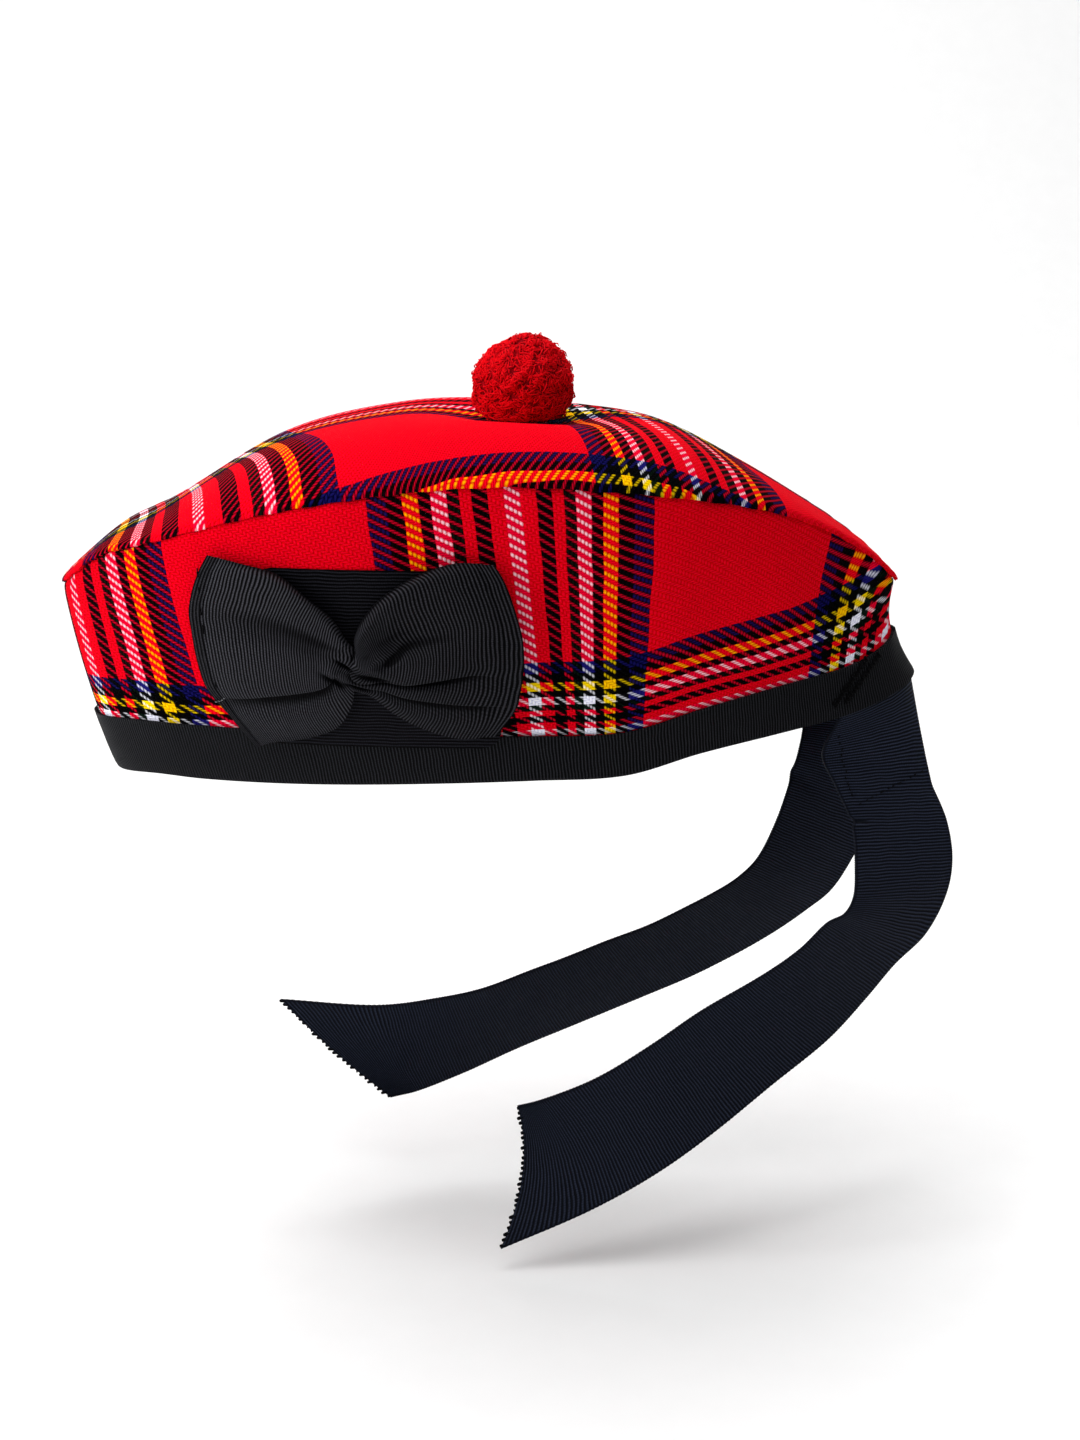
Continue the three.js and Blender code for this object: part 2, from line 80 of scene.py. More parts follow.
camera_data = bpy.data.cameras.new("photo_camera")
camera_data.sensor_width = SENSOR
camera_data.lens = FOCAL_PIXELS / PHOTO_HEIGHT * SENSOR
camera_data.shift_x = (PHOTO_WIDTH / 2 - TARGET_PIXEL[0]) / PHOTO_HEIGHT
camera_data.shift_y = (TARGET_PIXEL[1] - PHOTO_HEIGHT / 2) / PHOTO_HEIGHT
camera_data.clip_start = 0.01
camera = bpy.data.objects.new("photo_camera", camera_data)
bpy.context.collection.objects.link(camera)
away = np.array([0, -np.cos(CAMERA_ELEVATION), np.sin(CAMERA_ELEVATION)])
camera.location = (TARGET + CAMERA_DISTANCE * away) * MM
camera.rotation_euler = (np.pi / 2 - CAMERA_ELEVATION, 0, 0)
bpy.context.scene.camera = camera
print("lens", round(camera_data.lens, 2), "shift", camera_data.shift_x, camera_data.shift_y)

# %% [markdown]
# The cloth is cut to two long ovals, the head opening and the crown seam, whose heights and
# widths change from front to back. The hat could be pulled into shape by hand from a cylinder, but
# a form read from one short table, along a smooth curve through its rows, is the same each time,
# and every piece below can be laid over it.

# %% Sizes of the hat, in millimetres
RIM_LENGTH = 257
RIM_WIDTH = 98
SEAM_LENGTH = 268
SEAM_WIDTH = 130
SEAM_SHIFT = -11
PLAN_FULLNESS = 0.9
SIDE_HEIGHT = 102
REAR_RISE = 31
CROWN_PUFF = 13
CROWN_SHOULDER = 4.5
SIDE_BELLY = 3
DIMPLE_DEPTH = 6.5
DIMPLE_WIDTH = 46
CLOTH = 2
RIBBON = 1
GAP = 0.3
BAND_HEIGHT = 19
POMPOM_AFT = 2


def columns(names, rows):
    """A table as one array for each named column."""
    return dict(zip(names.split(), np.array(rows, dtype=float).T))


# along runs from the front to the back of each oval, and the rest are shares of the sizes above.
STATIONS = columns("along rim seam width puff belly band", [
    (0.00, 0.00, 0.610, 0.88, 0.00, 0.6, 0.98),
    (0.06, 0.09, 0.735, 0.91, 0.04, 0.7, 1.00),
    (0.12, 0.11, 0.795, 0.95, 0.18, 0.8, 1.00),
    (0.26, 0.15, 0.907, 1.00, 1.00, 1.0, 0.96),
    (0.40, 0.20, 0.975, 1.00, 1.18, 1.0, 0.86),
    (0.52, 0.24, 1.000, 1.00, 1.12, 1.0, 0.81),
    (0.63, 0.28, 0.985, 1.00, 1.05, 0.9, 0.80),
    (0.72, 0.48, 0.955, 0.96, 0.92, 0.5, 0.79),
    (0.82, 0.64, 0.895, 0.80, 0.38, 0.0, 0.79),
    (0.90, 0.75, 0.808, 0.62, 0.08, -0.5, 0.78),
    (0.96, 0.88, 0.706, 0.52, 0.02, -1.1, 0.76),
    (1.00, 1.00, 0.610, 0.48, 0.00, -1.6, 0.74),
])


def read_table(table, key, column, place):
    """Smooth curve through a table's rows: between two rows it starts and ends with the slope
    of the line that joins the rows on either side of each."""
    keys = table[key]
    values = table[column]
    at = np.clip(place, keys[0], keys[-1])
    low = np.clip(np.searchsorted(keys, at) - 1, 0, len(keys) - 2)
    before = np.maximum(np.arange(len(keys)) - 1, 0)
    after = np.minimum(np.arange(len(keys)) + 1, len(keys) - 1)
    slope = (values[after] - values[before]) / (keys[after] - keys[before])
    span = keys[low + 1] - keys[low]
    t = (at - keys[low]) / span
    level = values[low] + (values[low + 1] - values[low]) * t * t * (3 - 2 * t)
    return level + span * t * (1 - t) * (slope[low] * (1 - t) - slope[low + 1] * t)


def lerp(low, high, share):
    """The value a share of the way from low to high."""
    return low + (high - low) * share


def smooth(low, high, value):
    """Rises from 0 at low to 1 at high with level ends."""
    t = np.clip((value - low) / (high - low), 0, 1)
    return t * t * (3 - 2 * t)


print("head opening", RIM_LENGTH, "by", RIM_WIDTH, "mm, crown seam", SEAM_LENGTH, "by", SEAM_WIDTH, "mm")

# %% [markdown]
# The sides of the hat are cloth that stands between the two ovals with a slight belly. The wall
# could be one mesh that the other pieces are shrunk on to. Here it is a formula, because that lets
# the panels, the band, the cockade and its stitches be laid on it exactly, at any height above the
# rim and any distance off the cloth.

# %% The wall of the hat
def share_along(angle):
    """How far along the hat an angle of its oval lies: 0 at the front, 1 at the back, and between
    them with the cosine of the angle."""
    return (1 - np.cos(angle)) / 2


def rim_height(along):
    """The head opening's height: lowest in front, and REAR_RISE higher at the back."""
    return REAR_RISE * read_table(STATIONS, "along", "rim", along)


def seam_height(along):
    """The crown seam's height: SIDE_HEIGHT at its highest, and lower at both ends."""
    return SIDE_HEIGHT * read_table(STATIONS, "along", "seam", along)


def band_height(along):
    """How far the band reaches up the wall: BAND_HEIGHT in front, and less towards the back."""
    return BAND_HEIGHT * read_table(STATIONS, "along", "band", along)


def plan(angle, share):
    """The plan's oval at an angle, 0 at the front and pi at the back, between the rim at share 0
    and the crown seam at share 1: x falls with the cosine, y with the sine to a power under 1."""
    half_length = lerp(RIM_LENGTH, SEAM_LENGTH, share) / 2
    seam_width = SEAM_WIDTH * read_table(STATIONS, "along", "width", share_along(angle))
    half_width = lerp(RIM_WIDTH, seam_width, share) / 2
    across = np.sin(angle)
    x = SEAM_SHIFT * share - half_length * np.cos(angle)
    y = -half_width * np.sign(across) * np.abs(across) ** PLAN_FULLNESS
    return np.stack([x, y], -1)


def plan_normal(angle, share):
    """The level direction out of the wall: the oval's run at the angle, turned a quarter."""
    step = 0.01
    run = plan(angle + step, share) - plan(angle - step, share)
    run /= np.linalg.norm(run, axis=-1, keepdims=True)
    return np.stack([run[..., 1], -run[..., 0]], -1)


def wall(angle, height, lift):
    """The wall's point at a height above its rim: between the two ovals, pushed out by a belly
    that is a parabola in the height, and moved off the wall by lift."""
    along = share_along(angle)
    low = rim_height(along)
    share = height / (seam_height(along) - low)
    belly = SIDE_BELLY * read_table(STATIONS, "along", "belly", along)
    out = belly * 4 * share * (1 - share) + lift
    flat = plan(angle, share) + plan_normal(angle, share) * out[..., None]
    return np.concatenate([flat, (low + height)[..., None]], -1)


quarter_turns = np.linspace(0, np.pi, 2001)
seam_line = plan(quarter_turns, np.ones_like(quarter_turns))
seam_steps = np.linalg.norm(np.diff(seam_line, axis=0), axis=-1)
seam_run = np.concatenate([[0], np.cumsum(seam_steps)])
print("crown seam, front to back, mm:", round(seam_run[-1], 1))

# %% [markdown]
# Every cloth piece is a thin closed body: an outer and an inner face, worked out as two grids of
# points, and joined round their edges. A Solidify modifier could give the thickness, but with two
# grids a piece can be folded or rolled at its edge. Its own map holds where each point lies on the
# flat cloth, in millimetres, so that weave and ribs keep their real size and follow the piece.

# %% Turn arrays into a mesh
MERGE_WITHIN = 0.02 * MM


def make_piece(name, points, corners, cloth):
    """A mesh put together from arrays. points is a list of places in mm, corners the point of each
    face corner, four to a face, and cloth the place of each corner on the flat cloth, with the
    painted shade it gets as a third value where that matters."""
    mesh = bpy.data.meshes.new(name)
    flat = corners.reshape(-1)
    mesh.vertices.add(len(points))
    mesh.vertices.foreach_set("co", (points * MM).astype(np.float32).reshape(-1))
    mesh.loops.add(len(flat))
    mesh.loops.foreach_set("vertex_index", flat.astype(np.int32))
    mesh.polygons.add(len(corners))
    sides = corners.shape[1]
    mesh.polygons.foreach_set("loop_start", np.arange(0, len(flat), sides, dtype=np.int32))
    mesh.polygons.foreach_set("use_smooth", np.ones(len(corners), dtype=bool))
    mesh.update(calc_edges=True)
    layer = mesh.uv_layers.new(name="cloth")
    layer.data.foreach_set("uv", cloth[..., :2].astype(np.float32).reshape(-1))
    # A third value is painted shade, kept as the hollow attribute for the ribbon shader
    if cloth.shape[-1] > 2:
        hollow = mesh.attributes.new("hollow", "FLOAT", "CORNER")
        hollow.data.foreach_set("value", cloth[..., 2].astype(np.float32).reshape(-1))
    mesh.validate()
    piece = bpy.data.objects.new(name, mesh)
    bpy.context.collection.objects.link(piece)
    return piece


def close_poles(piece):
    """Merges points that lie within MERGE_WITHIN of each other, so that a fan's pole is closed."""
    working = bmesh.new()
    working.from_mesh(piece.data)
    bmesh.ops.remove_doubles(working, verts=working.verts, dist=MERGE_WITHIN)
    working.to_mesh(piece.data)
    working.free()


# %% Turn two grids of points into a closed piece
SHARP_ANGLE = np.radians(60)


def shell(name, outer, inner, cloth, wrap=False):
    """A closed body between two grids of points of the same size: both faces, and a strip along
    each side of the grids. With wrap the last column of the grids is the first one again."""
    count, rows = outer.shape[:2]
    steps = count - 1
    across = steps if wrap else count
    points = np.concatenate([outer[:across].reshape(-1, 3), inner[:across].reshape(-1, 3)])
    col, row = (grid.reshape(-1) for grid in np.meshgrid(np.arange(steps), np.arange(rows - 1)))
    ring = np.arange(steps)
    none = np.zeros_like(ring)
    one = np.ones_like(ring)
    top = none + rows - 1
    face_sets = [
        [(0, col, row), (0, col + 1, row), (0, col + 1, row + 1), (0, col, row + 1)],
        [(1, col, row), (1, col, row + 1), (1, col + 1, row + 1), (1, col + 1, row)],
        [(0, ring, none), (1, ring, none), (1, ring + one, none), (0, ring + one, none)],
        [(0, ring, top), (0, ring + one, top), (1, ring + one, top), (1, ring, top)],
    ]
    if not wrap:
        side = np.arange(rows - 1)
        first = np.zeros_like(side)
        last = first + steps
        face_sets.append([(0, first, side), (0, first, side + 1), (1, first, side + 1), (1, first, side)])
        face_sets.append([(0, last, side), (1, last, side), (1, last, side + 1), (0, last, side + 1)])
    corners = []
    places = []
    for face_set in face_sets:
        index = [(face * across + c % across) * rows + r for face, c, r in face_set]
        corners.append(np.stack(index, -1))
        places.append(np.stack([cloth[c, r] for _, c, r in face_set], 1))
    corners = np.concatenate(corners)
    places = np.concatenate(places)
    a, b, c, d = (points[corners[:, k]] for k in range(4))
    volume = (a * np.cross(b, c)).sum() + (a * np.cross(c, d)).sum()
    if volume < 0:
        corners = corners[:, ::-1]
        places = places[:, ::-1]
    piece = make_piece(name, points, corners, places)
    piece.data.set_sharp_from_angle(angle=SHARP_ANGLE)
    print(name, len(corners) * 2, "triangles")
    return piece


def finish_piece(piece, material, slot=None, *nodes):
    """Gives a finished piece its material, its body and the nodes it stands for. slot is not used."""
    piece.data.materials.append(material)
    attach(piece, "root")
    if nodes:
        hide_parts(*nodes)
    return piece


# %% [markdown]
# A material is a tree of shader nodes. It could be built by hand in the shader editor, but cloth,
# ribbon, thread and yarn share most of their steps, so one helper adds a node with its settings
# and links. Colours are chosen as on a screen and turned to linear light by one function.

# %% Colour and node helpers
def linear(code):
    """An sRGB hex colour in linear light."""
    parts = np.array([int(code[k:k + 2], 16) for k in (1, 3, 5)]) / 255
    light = np.where(parts <= 0.04045, parts / 12.92, ((parts + 0.055) / 1.055) ** 2.4)
    return (*light.tolist(), 1.0)


def node(tree, kind, *inputs, out=0, named=None, **settings):
    """Adds a node, sets its settings, links or fills its inputs, and returns one of its outputs,
    or the node where it has none."""
    new = tree.nodes.new(kind)
    for name, value in settings.items():
        setattr(new, name, value)
    for key, value in list(enumerate(inputs)) + list((named or {}).items()):
        if isinstance(value, bpy.types.NodeSocket):
            tree.links.new(value, new.inputs[key])
        elif value is not None:
            new.inputs[key].default_value = value
    return new.outputs[out] if new.outputs else new


def new_material(name):
    """An empty node material and its tree."""
    material = bpy.data.materials.new(name)
    material.use_nodes = True
    material.node_tree.nodes.clear()
    return material, material.node_tree


MATH = "ShaderNodeMath"
MIX = "ShaderNodeMix"
print("middle grey in linear light:", round(linear("#808080")[0], 3))

# %% [markdown]
# The cloth is a wool and polyester tartan in a two-and-two twill: each thread passes over two
# and under two, one thread later in each row, which draws the slanting strokes in every stripe.
# Threads of one direction set the upright stripes and those of the other the level ones. The
# shader counts threads on the cloth's map, finds each one's colour in the sett and shows the
# direction that is on top. A picture of cloth could be laid on instead, but it would blur close by
# and its threads would have no height. The sett is counted from the middle of its narrow white
# stripe, which is a pivot: the colours run the same way back on its other side.

# %% Tartan twill
RED = "#e8002b"
WHITE = "#f5f5ff"
YELLOW = "#f7cf00"
GREEN = "#0b1a12"
BLUE = "#181560"
BLACK = "#08080a"
# Threads in each stripe between the pivot and the wide red block
SETT = [(2, WHITE), (4, RED), (4, BLACK), (3, RED), (3, GREEN), (4, WHITE), (3, BLACK), (4, YELLOW),
        (4, BLACK), (5, BLUE)]
# Across the crown the light stripes are narrower and the dark ones beside them wider
CROWN_SETT = [(1.5, WHITE), (4.5, RED), (4, BLACK), (3, RED), (3.5, GREEN), (3, WHITE), (4, BLACK),
              (3, YELLOW), (4.5, BLACK), (5, BLUE)]
SETT_THREADS = sum(count for count, _ in SETT)
# Threads in the red block, along the side and down it, then across the crown and along it
SIDE_BLOCKS = (57, 110)
CROWN_BLOCKS = (90, 63)
# Spacing in mm of the threads in the same directions, from the width of the stripes. Finer yarns
# would not show in the render, so these are as coarse as the strokes in the photograph
SIDE_PITCH = (1.18, 0.722)
CROWN_PITCH = (0.875, 0.93)
CROWN_FINER = 1.3
# How far a float leans over, how much of the neighbour's tint a thread takes in its middle, at its
# sides and at a float's ends, the painted shade of its sides and dips, and how dye and fibres vary its tone
FLOAT_LEAN = 0.75
MIDDLE_TINT = 0.42
EDGE_TINT = 0.85
DIP_TINT = 0.5
SHADE = 0.68
ROUND_PAINTED_SHADE = 0.34
DYE_SHADE = 0.09
FIBRE_SHADE = 0.18
DIP_PAINTED_SHADE = -0.14


def sett_colour(tree, thread, finer, sett, block):
    """The colour of a thread counted from the pivot: its middle, in threads of the sett, folded
    back and forth over half of the repeat, then read from the sett, past which a block of as many
    threads as given is red."""
    half = SETT_THREADS + block / 2
    centre = node(tree, MATH, thread, 0.5, operation="ADD")
    counted_in = node(tree, MATH, centre, 1 / finer, operation="MULTIPLY")
    place = node(tree, MATH, counted_in, half, operation="PINGPONG")
    share = node(tree, MATH, place, half, operation="DIVIDE")
    ramp_colour = node(tree, "ShaderNodeValToRGB", share)
    ramp = ramp_colour.node.color_ramp
    ramp.interpolation = "CONSTANT"
    ramp.elements.remove(ramp.elements[1])
    counted = 0
    for threads, code in sett + [(block, RED)]:
        stop = ramp.elements[0] if counted == 0 else ramp.elements.new(counted / half)
        stop.color = linear(code)
        counted += threads
    return ramp_colour


def tartan_twill(name, pitch, blocks, finer, sett):
    """Wool and polyester tartan twill, woven from spun yarn: dull, with short slanting strokes in
    which the colours of both directions mix. pitch is the spacing in mm of the sett's threads in
    the map's two directions, blocks their number in the red block of each, finer how many yarns of
    the first direction lie in one such spacing, and sett the stripes of that direction."""
    material, tree = new_material(name)
    cloth = node(tree, "ShaderNodeUVMap", uv_map="cloth")
    u = node(tree, "ShaderNodeSeparateXYZ", cloth)
    v = u.node.outputs[1]
    # Yarn wanders a little, so no stroke is quite like the next
    wander = node(tree, "ShaderNodeTexNoise", cloth, named={"Scale": 0.09, "Detail": 2.0})
    drift = node(tree, MATH, wander, 0.5, operation="SUBTRACT")
    places = []
    for axis, spacing in ((u, pitch[0] / finer), (v, pitch[1])):
        threads = node(tree, MATH, axis, spacing, operation="DIVIDE")
        places.append(node(tree, MATH, drift, 0.8, threads, operation="MULTIPLY_ADD"))
    warp, weft = (node(tree, MATH, place, operation="FLOOR") for place in places)
    warp_in, weft_in = (node(tree, MATH, place, operation="FRACT") for place in places)
    # Two over and two under, one thread later in each row; a float leans the way the strokes run
    step = node(tree, MATH, warp, weft, operation="SUBTRACT")
    lean = node(tree, MATH, warp_in, weft_in, operation="SUBTRACT")
    step = node(tree, MATH, lean, FLOAT_LEAN, step, operation="MULTIPLY_ADD")
    turn = node(tree, MATH, step, 4.0, operation="FLOORED_MODULO")
    weft_on_top = node(tree, MATH, turn, 2.0, operation="GREATER_THAN")
    warp_colour = sett_colour(tree, warp, finer, sett, blocks[0])
    weft_colour = sett_colour(tree, weft, 1, SETT, blocks[1])
    # A thread is round: highest along its middle and low beside its neighbours
    across = node(tree, MIX, weft_on_top, data_type="FLOAT", out=0,
                  named={2: warp_in, 3: weft_in})
    from_middle = node(tree, MATH, across, 0.5, operation="SUBTRACT")
    squared = node(tree, MATH, from_middle, from_middle, operation="MULTIPLY")
    rounded = node(tree, MATH, squared, -4.0, 1.0, operation="MULTIPLY_ADD")
    # Light that a yarn gives back has passed its neighbours' fibres, and most so at its sides, so
    # it takes their tint
    tint = node(tree, MATH, rounded, MIDDLE_TINT - EDGE_TINT, EDGE_TINT, operation="MULTIPLY_ADD")
    # Each float dips under its neighbour at both ends, with painted shade there and more of its tint
    float_place = node(tree, MATH, turn, 2.0, operation="FLOORED_MODULO")
    from_rise = node(tree, MATH, float_place, 1.0, operation="SUBTRACT")
    dip = node(tree, MATH, from_rise, from_rise, operation="MULTIPLY")
    tint = node(tree, MATH, dip, DIP_TINT, tint, operation="MULTIPLY_ADD")
    top = node(tree, MIX, weft_on_top, data_type="RGBA", out=2,
               named={6: warp_colour, 7: weft_colour})
    below = node(tree, MIX, weft_on_top, data_type="RGBA", out=2,
                 named={6: weft_colour, 7: warp_colour})
    shown = node(tree, MIX, tint, data_type="RGBA", blend_type="MULTIPLY", out=2,
                 named={6: top, 7: below})
    # Fibres of the yarn, and threads that took more or less dye
    fibre = node(tree, "ShaderNodeTexNoise", cloth, named={"Scale": 3.0, "Detail": 3.0})
    lot = node(tree, "ShaderNodeCombineXYZ", warp, weft)
    dye = node(tree, "ShaderNodeTexWhiteNoise", lot, noise_dimensions="2D")
    # Painted shade: darker beside a thread's neighbours and where a float dips, while dye and fibres vary
    # the tone
    shade = SHADE
    for part, share in ((rounded, ROUND_PAINTED_SHADE), (dye, DYE_SHADE), (fibre, FIBRE_SHADE), (dip, DIP_PAINTED_SHADE)):
        shade = node(tree, MATH, part, share, shade, operation="MULTIPLY_ADD")
    colour = node(tree, "ShaderNodeVectorMath", shown, operation="SCALE", named={"Scale": shade})
    height = node(tree, MATH, fibre, 0.35, rounded, operation="MULTIPLY_ADD")
    bump = node(tree, "ShaderNodeBump", named={"Height": height, "Strength": 0.55, "Distance": 0.22 * MM})
    surface = node(tree, "ShaderNodeBsdfPrincipled", named={
        "Base Color": colour, "Roughness": 0.9, "Normal": bump, "Sheen Weight": 0.003,
        "Sheen Roughness": 0.5, "Specular IOR Level": 0.01})
    node(tree, "ShaderNodeOutputMaterial", surface)
    return material


side_tartan = tartan_twill("tartan_twill_side", SIDE_PITCH, SIDE_BLOCKS, 1, SETT)
# The crown is cut from the same cloth turned a quarter, and eased over its shoulder
crown_tartan = tartan_twill("tartan_twill_crown", CROWN_PITCH, CROWN_BLOCKS, CROWN_FINER, CROWN_SETT)
print("sett:", SETT_THREADS, "threads from the pivot to the red block")

# %% [markdown]
# Grosgrain is a ribbed ribbon: fine polyester warp over thick weft cords, which stand up as ribs
# across it about one to the millimetre. The ribs catch the light along their backs and are
# nearly black between. They could be ridges of the mesh, but there are over a thousand of them, so
# the shader draws their height, paints the light on their backs and the shade between them, and
# only the ribbon's edges step in and out with them. The map's first direction runs along the
# ribbon, so ribs lie across it.

# %% Grosgrain ribbon
# The real warp threads are too fine to show, so they are drawn this far apart, in mm
WARP_STEP = 0.35
# A rib takes light from the first height up, and has all of it at the second
RIB_DARK = 0.88
RIB_LIT = 1.28
# Width in mm of a woven edge, and over how much of it the ribs die away
SELVEDGE_WIDTH = 0.9
SELVEDGE_BLEND = 0.3


def grosgrain(name, pitch, lit_crest, shaded_valley, selvedge=None):
    """Black polyester grosgrain, woven: dull, with a painted line of light on the back of each rib.
    pitch is the ribs' spacing in mm, lit_crest the colour of that painted highlight, shaded_valley
    the painted shade between the ribs, and selvedge the ribbon's width in mm where its two smooth
    woven edges show."""
    material, tree = new_material(name)
    cloth = node(tree, "ShaderNodeUVMap", uv_map="cloth")
    u = node(tree, "ShaderNodeSeparateXYZ", cloth)
    v = u.node.outputs[1]
    waver = node(tree, "ShaderNodeTexNoise", cloth, named={"Scale": 0.12, "Detail": 1.0})
    moved = node(tree, MATH, waver, 0.9, u, operation="MULTIPLY_ADD")
    ribs = node(tree, MATH, moved, 1.0 / pitch, operation="MULTIPLY")
    rib = node(tree, MATH, ribs, operation="FLOOR")
    inside = node(tree, MATH, ribs, operation="FRACT")
    from_crest = node(tree, MATH, inside, 0.5, operation="SUBTRACT")
    squared = node(tree, MATH, from_crest, from_crest, operation="MULTIPLY")
    rounded = node(tree, MATH, squared, -4.0, 1.0, operation="MULTIPLY_ADD")
    # Warp threads wrap each rib side by side, and lie half a step over on the next
    stagger = node(tree, MATH, rib, 0.5, operation="MULTIPLY")
    warp = node(tree, MATH, v, 1.0 / WARP_STEP, stagger, operation="MULTIPLY_ADD")
    warp_in = node(tree, MATH, warp, 1.0, operation="PINGPONG")
    lot = node(tree, "ShaderNodeCombineXYZ", rib, 0.0)
    uneven = node(tree, "ShaderNodeTexWhiteNoise", lot, noise_dimensions="2D")
    fibre = node(tree, "ShaderNodeTexNoise", cloth, named={"Scale": 2.2, "Detail": 3.0})
    height = node(tree, MATH, warp_in, 0.18, rounded, operation="MULTIPLY_ADD")
    height = node(tree, MATH, uneven, 0.15, height, operation="MULTIPLY_ADD")
    lit = node(tree, MATH, fibre, 0.5, rounded, operation="MULTIPLY_ADD")
    lit = node(tree, "ShaderNodeMapRange", lit, RIB_DARK, RIB_LIT, interpolation_type="SMOOTHSTEP")
    beads = node(tree, MATH, warp_in, 0.5, 0.65, operation="MULTIPLY_ADD")
    lit = node(tree, MATH, lit, beads, operation="MULTIPLY")
    # A woven edge has no ribs, so the ribs' painted highlight fades out over it
    if selvedge:
        from_axis = node(tree, MATH, v, operation="ABSOLUTE")
        starts = selvedge / 2 - SELVEDGE_WIDTH
        edge = node(tree, "ShaderNodeMapRange", from_axis, starts, starts + SELVEDGE_BLEND)
        keep = node(tree, MATH, edge, -0.7, 1.0, operation="MULTIPLY_ADD")
        lit = node(tree, MATH, lit, keep, operation="MULTIPLY")
        height = node(tree, MATH, height, keep, operation="MULTIPLY")
    # Painted shade from the hollow attribute: in folds and creases, where little light gets down, and
    # over the bow's rear wing and hem and the tails below their tops
    deep = node(tree, "ShaderNodeAttribute", out=2, attribute_name="hollow")
    open_share = node(tree, MATH, deep, -0.9, 1.0, operation="MULTIPLY_ADD")
    lit = node(tree, MATH, lit, open_share, operation="MULTIPLY")
    colour = node(tree, MIX, lit, data_type="RGBA", out=2,
                  named={6: linear(shaded_valley), 7: linear(lit_crest)})
    bump = node(tree, "ShaderNodeBump", named={"Height": height, "Strength": 0.7, "Distance": 0.25 * MM})
    surface = node(tree, "ShaderNodeBsdfPrincipled", named={
        "Base Color": colour, "Roughness": 0.55, "Normal": bump, "Sheen Weight": 0.003,
        "Sheen Roughness": 0.4, "Specular IOR Level": 0.025})
    node(tree, "ShaderNodeOutputMaterial", surface)
    return material


# The ribs' colours are painted light: the same black ribbon's highlight is brightest on the bow, dimmer on
# the tails and the band and dimmest on the backing, and between the ribs is painted shade
SHADED_BETWEEN_RIBS = "#010102"
TAIL_WIDTH = 37
band_grosgrain = grosgrain("grosgrain_band", 1.0, "#26272b", SHADED_BETWEEN_RIBS)
bow_grosgrain = grosgrain("grosgrain_bow", 0.95, "#3f3f45", SHADED_BETWEEN_RIBS)
backing_grosgrain = grosgrain("grosgrain_backing", 1.05, "#1e1e24", SHADED_BETWEEN_RIBS)
# The tails look bluer than the rest, between their ribs too
tail_grosgrain = grosgrain("grosgrain_tail", 1.0, "#2e3445", "#090b12", selvedge=TAIL_WIDTH)
print("ribbon materials made")

# %% [markdown]
# The two side panels are one strip of tartan each, from the seam at the front to the seam at the
# back. The pattern could run level round the hat, but flat cloth that is eased on to an oval can't.
# The table says how it was laid: how high above the rim the level blue line runs, how far the
# upright stripes lean forward on their way down, and how far the cloth was eased along the seam.

# %% How the tartan lies on the side
LAY = columns("along line lean slip", [
    (0.00, 32.0, 0, -1.5),
    (0.10, 31.5, -2, -1.6),
    (0.18, 32.5, -4, -1.6),
    (0.40, 37.0, 0, 0.0),
    (0.53, 39.2, 0, 0.0),
    (0.64, 38.8, 11, 0.0),
    (0.70, 38.6, 13, -0.3),
    (0.80, 38.2, 18, -1.0),
    (0.90, 38.8, 25, -1.8),
    (1.00, 39.5, 37, -2.2),
])
# Where the stripes' pivots are: mm along the seam from the front, and mm below the blue line
PIVOT_RUN = 170
LINE_TO_PIVOT = 26
# How fast the level stripes close up where the cloth rolls in towards the rim
FOOT_ROLL = 0.00028


def side_cloth(angle, height):
    """Where a wall point lies on the flat cloth, from the pivots of its two sets of stripes.
    Across: distance along the seam, plus the lean of the stripes below it. Down: distance
    below the blue line, closing up towards the foot with the cube of that distance."""
    turned = np.abs(angle)
    along = share_along(turned)
    share = height / (seam_height(along) - rim_height(along))
    run = np.interp(turned, quarter_turns, seam_run) - PIVOT_RUN
    lean = read_table(LAY, "along", "lean", along) * (1 - share)
    across = run + lean + read_table(LAY, "along", "slip", along)
    below = read_table(LAY, "along", "line", along) - height
    down = below + FOOT_ROLL * np.maximum(below, 0) ** 3 - LINE_TO_PIVOT
    return np.stack([across * np.sign(angle), down], -1)


print("blue line's height, front and back, mm:", LAY["line"][0], LAY["line"][-1])

# %% [markdown]
# Between its seams the cloth sinks and swells a little, and it puckers along them. The dents could
# be sculpted, or come from a cloth simulation. A few soft pushes are enough, because they can be
# placed where the photograph shows light and shade, and stay the same each time.

# %% Soft dents in the side
# along and height in mm place a dent's middle, the next two are its half sizes, push is outwards
DENTS = columns("along height wide tall push", [
    (0.10, 40, 0.05, 30, -1.0),
    (0.17, 60, 0.05, 16, 1.0),
    (0.33, 78, 0.08, 10, 0.8),
    (0.58, 52, 0.05, 26, -0.9),
    (0.68, 62, 0.05, 18, 1.0),
    (0.75, 42, 0.04, 16, -1.1),
    (0.84, 40, 0.03, 14, 0.9),
])


def dents(angle, height):
    """The sum of soft bell-shaped pushes, with a ripple along the two seams that sets in within
    a few millimetres of them."""
    along = share_along(angle)[..., None]
    far = ((along - DENTS["along"]) / DENTS["wide"]) ** 2
    far = far + ((height[..., None] - DENTS["height"]) / DENTS["tall"]) ** 2
    pushed = (DENTS["push"] * np.exp(-far)).sum(-1)
    top = seam_height(share_along(angle)) - rim_height(share_along(angle)) - height
    pucker = 0.22 * np.sin(angle * 61 + 2 * np.sin(angle * 7)) * np.exp(-top / 5)
    return pushed + pucker


print(len(DENTS["push"]), "dents, the deepest", DENTS["push"].min(), "mm")

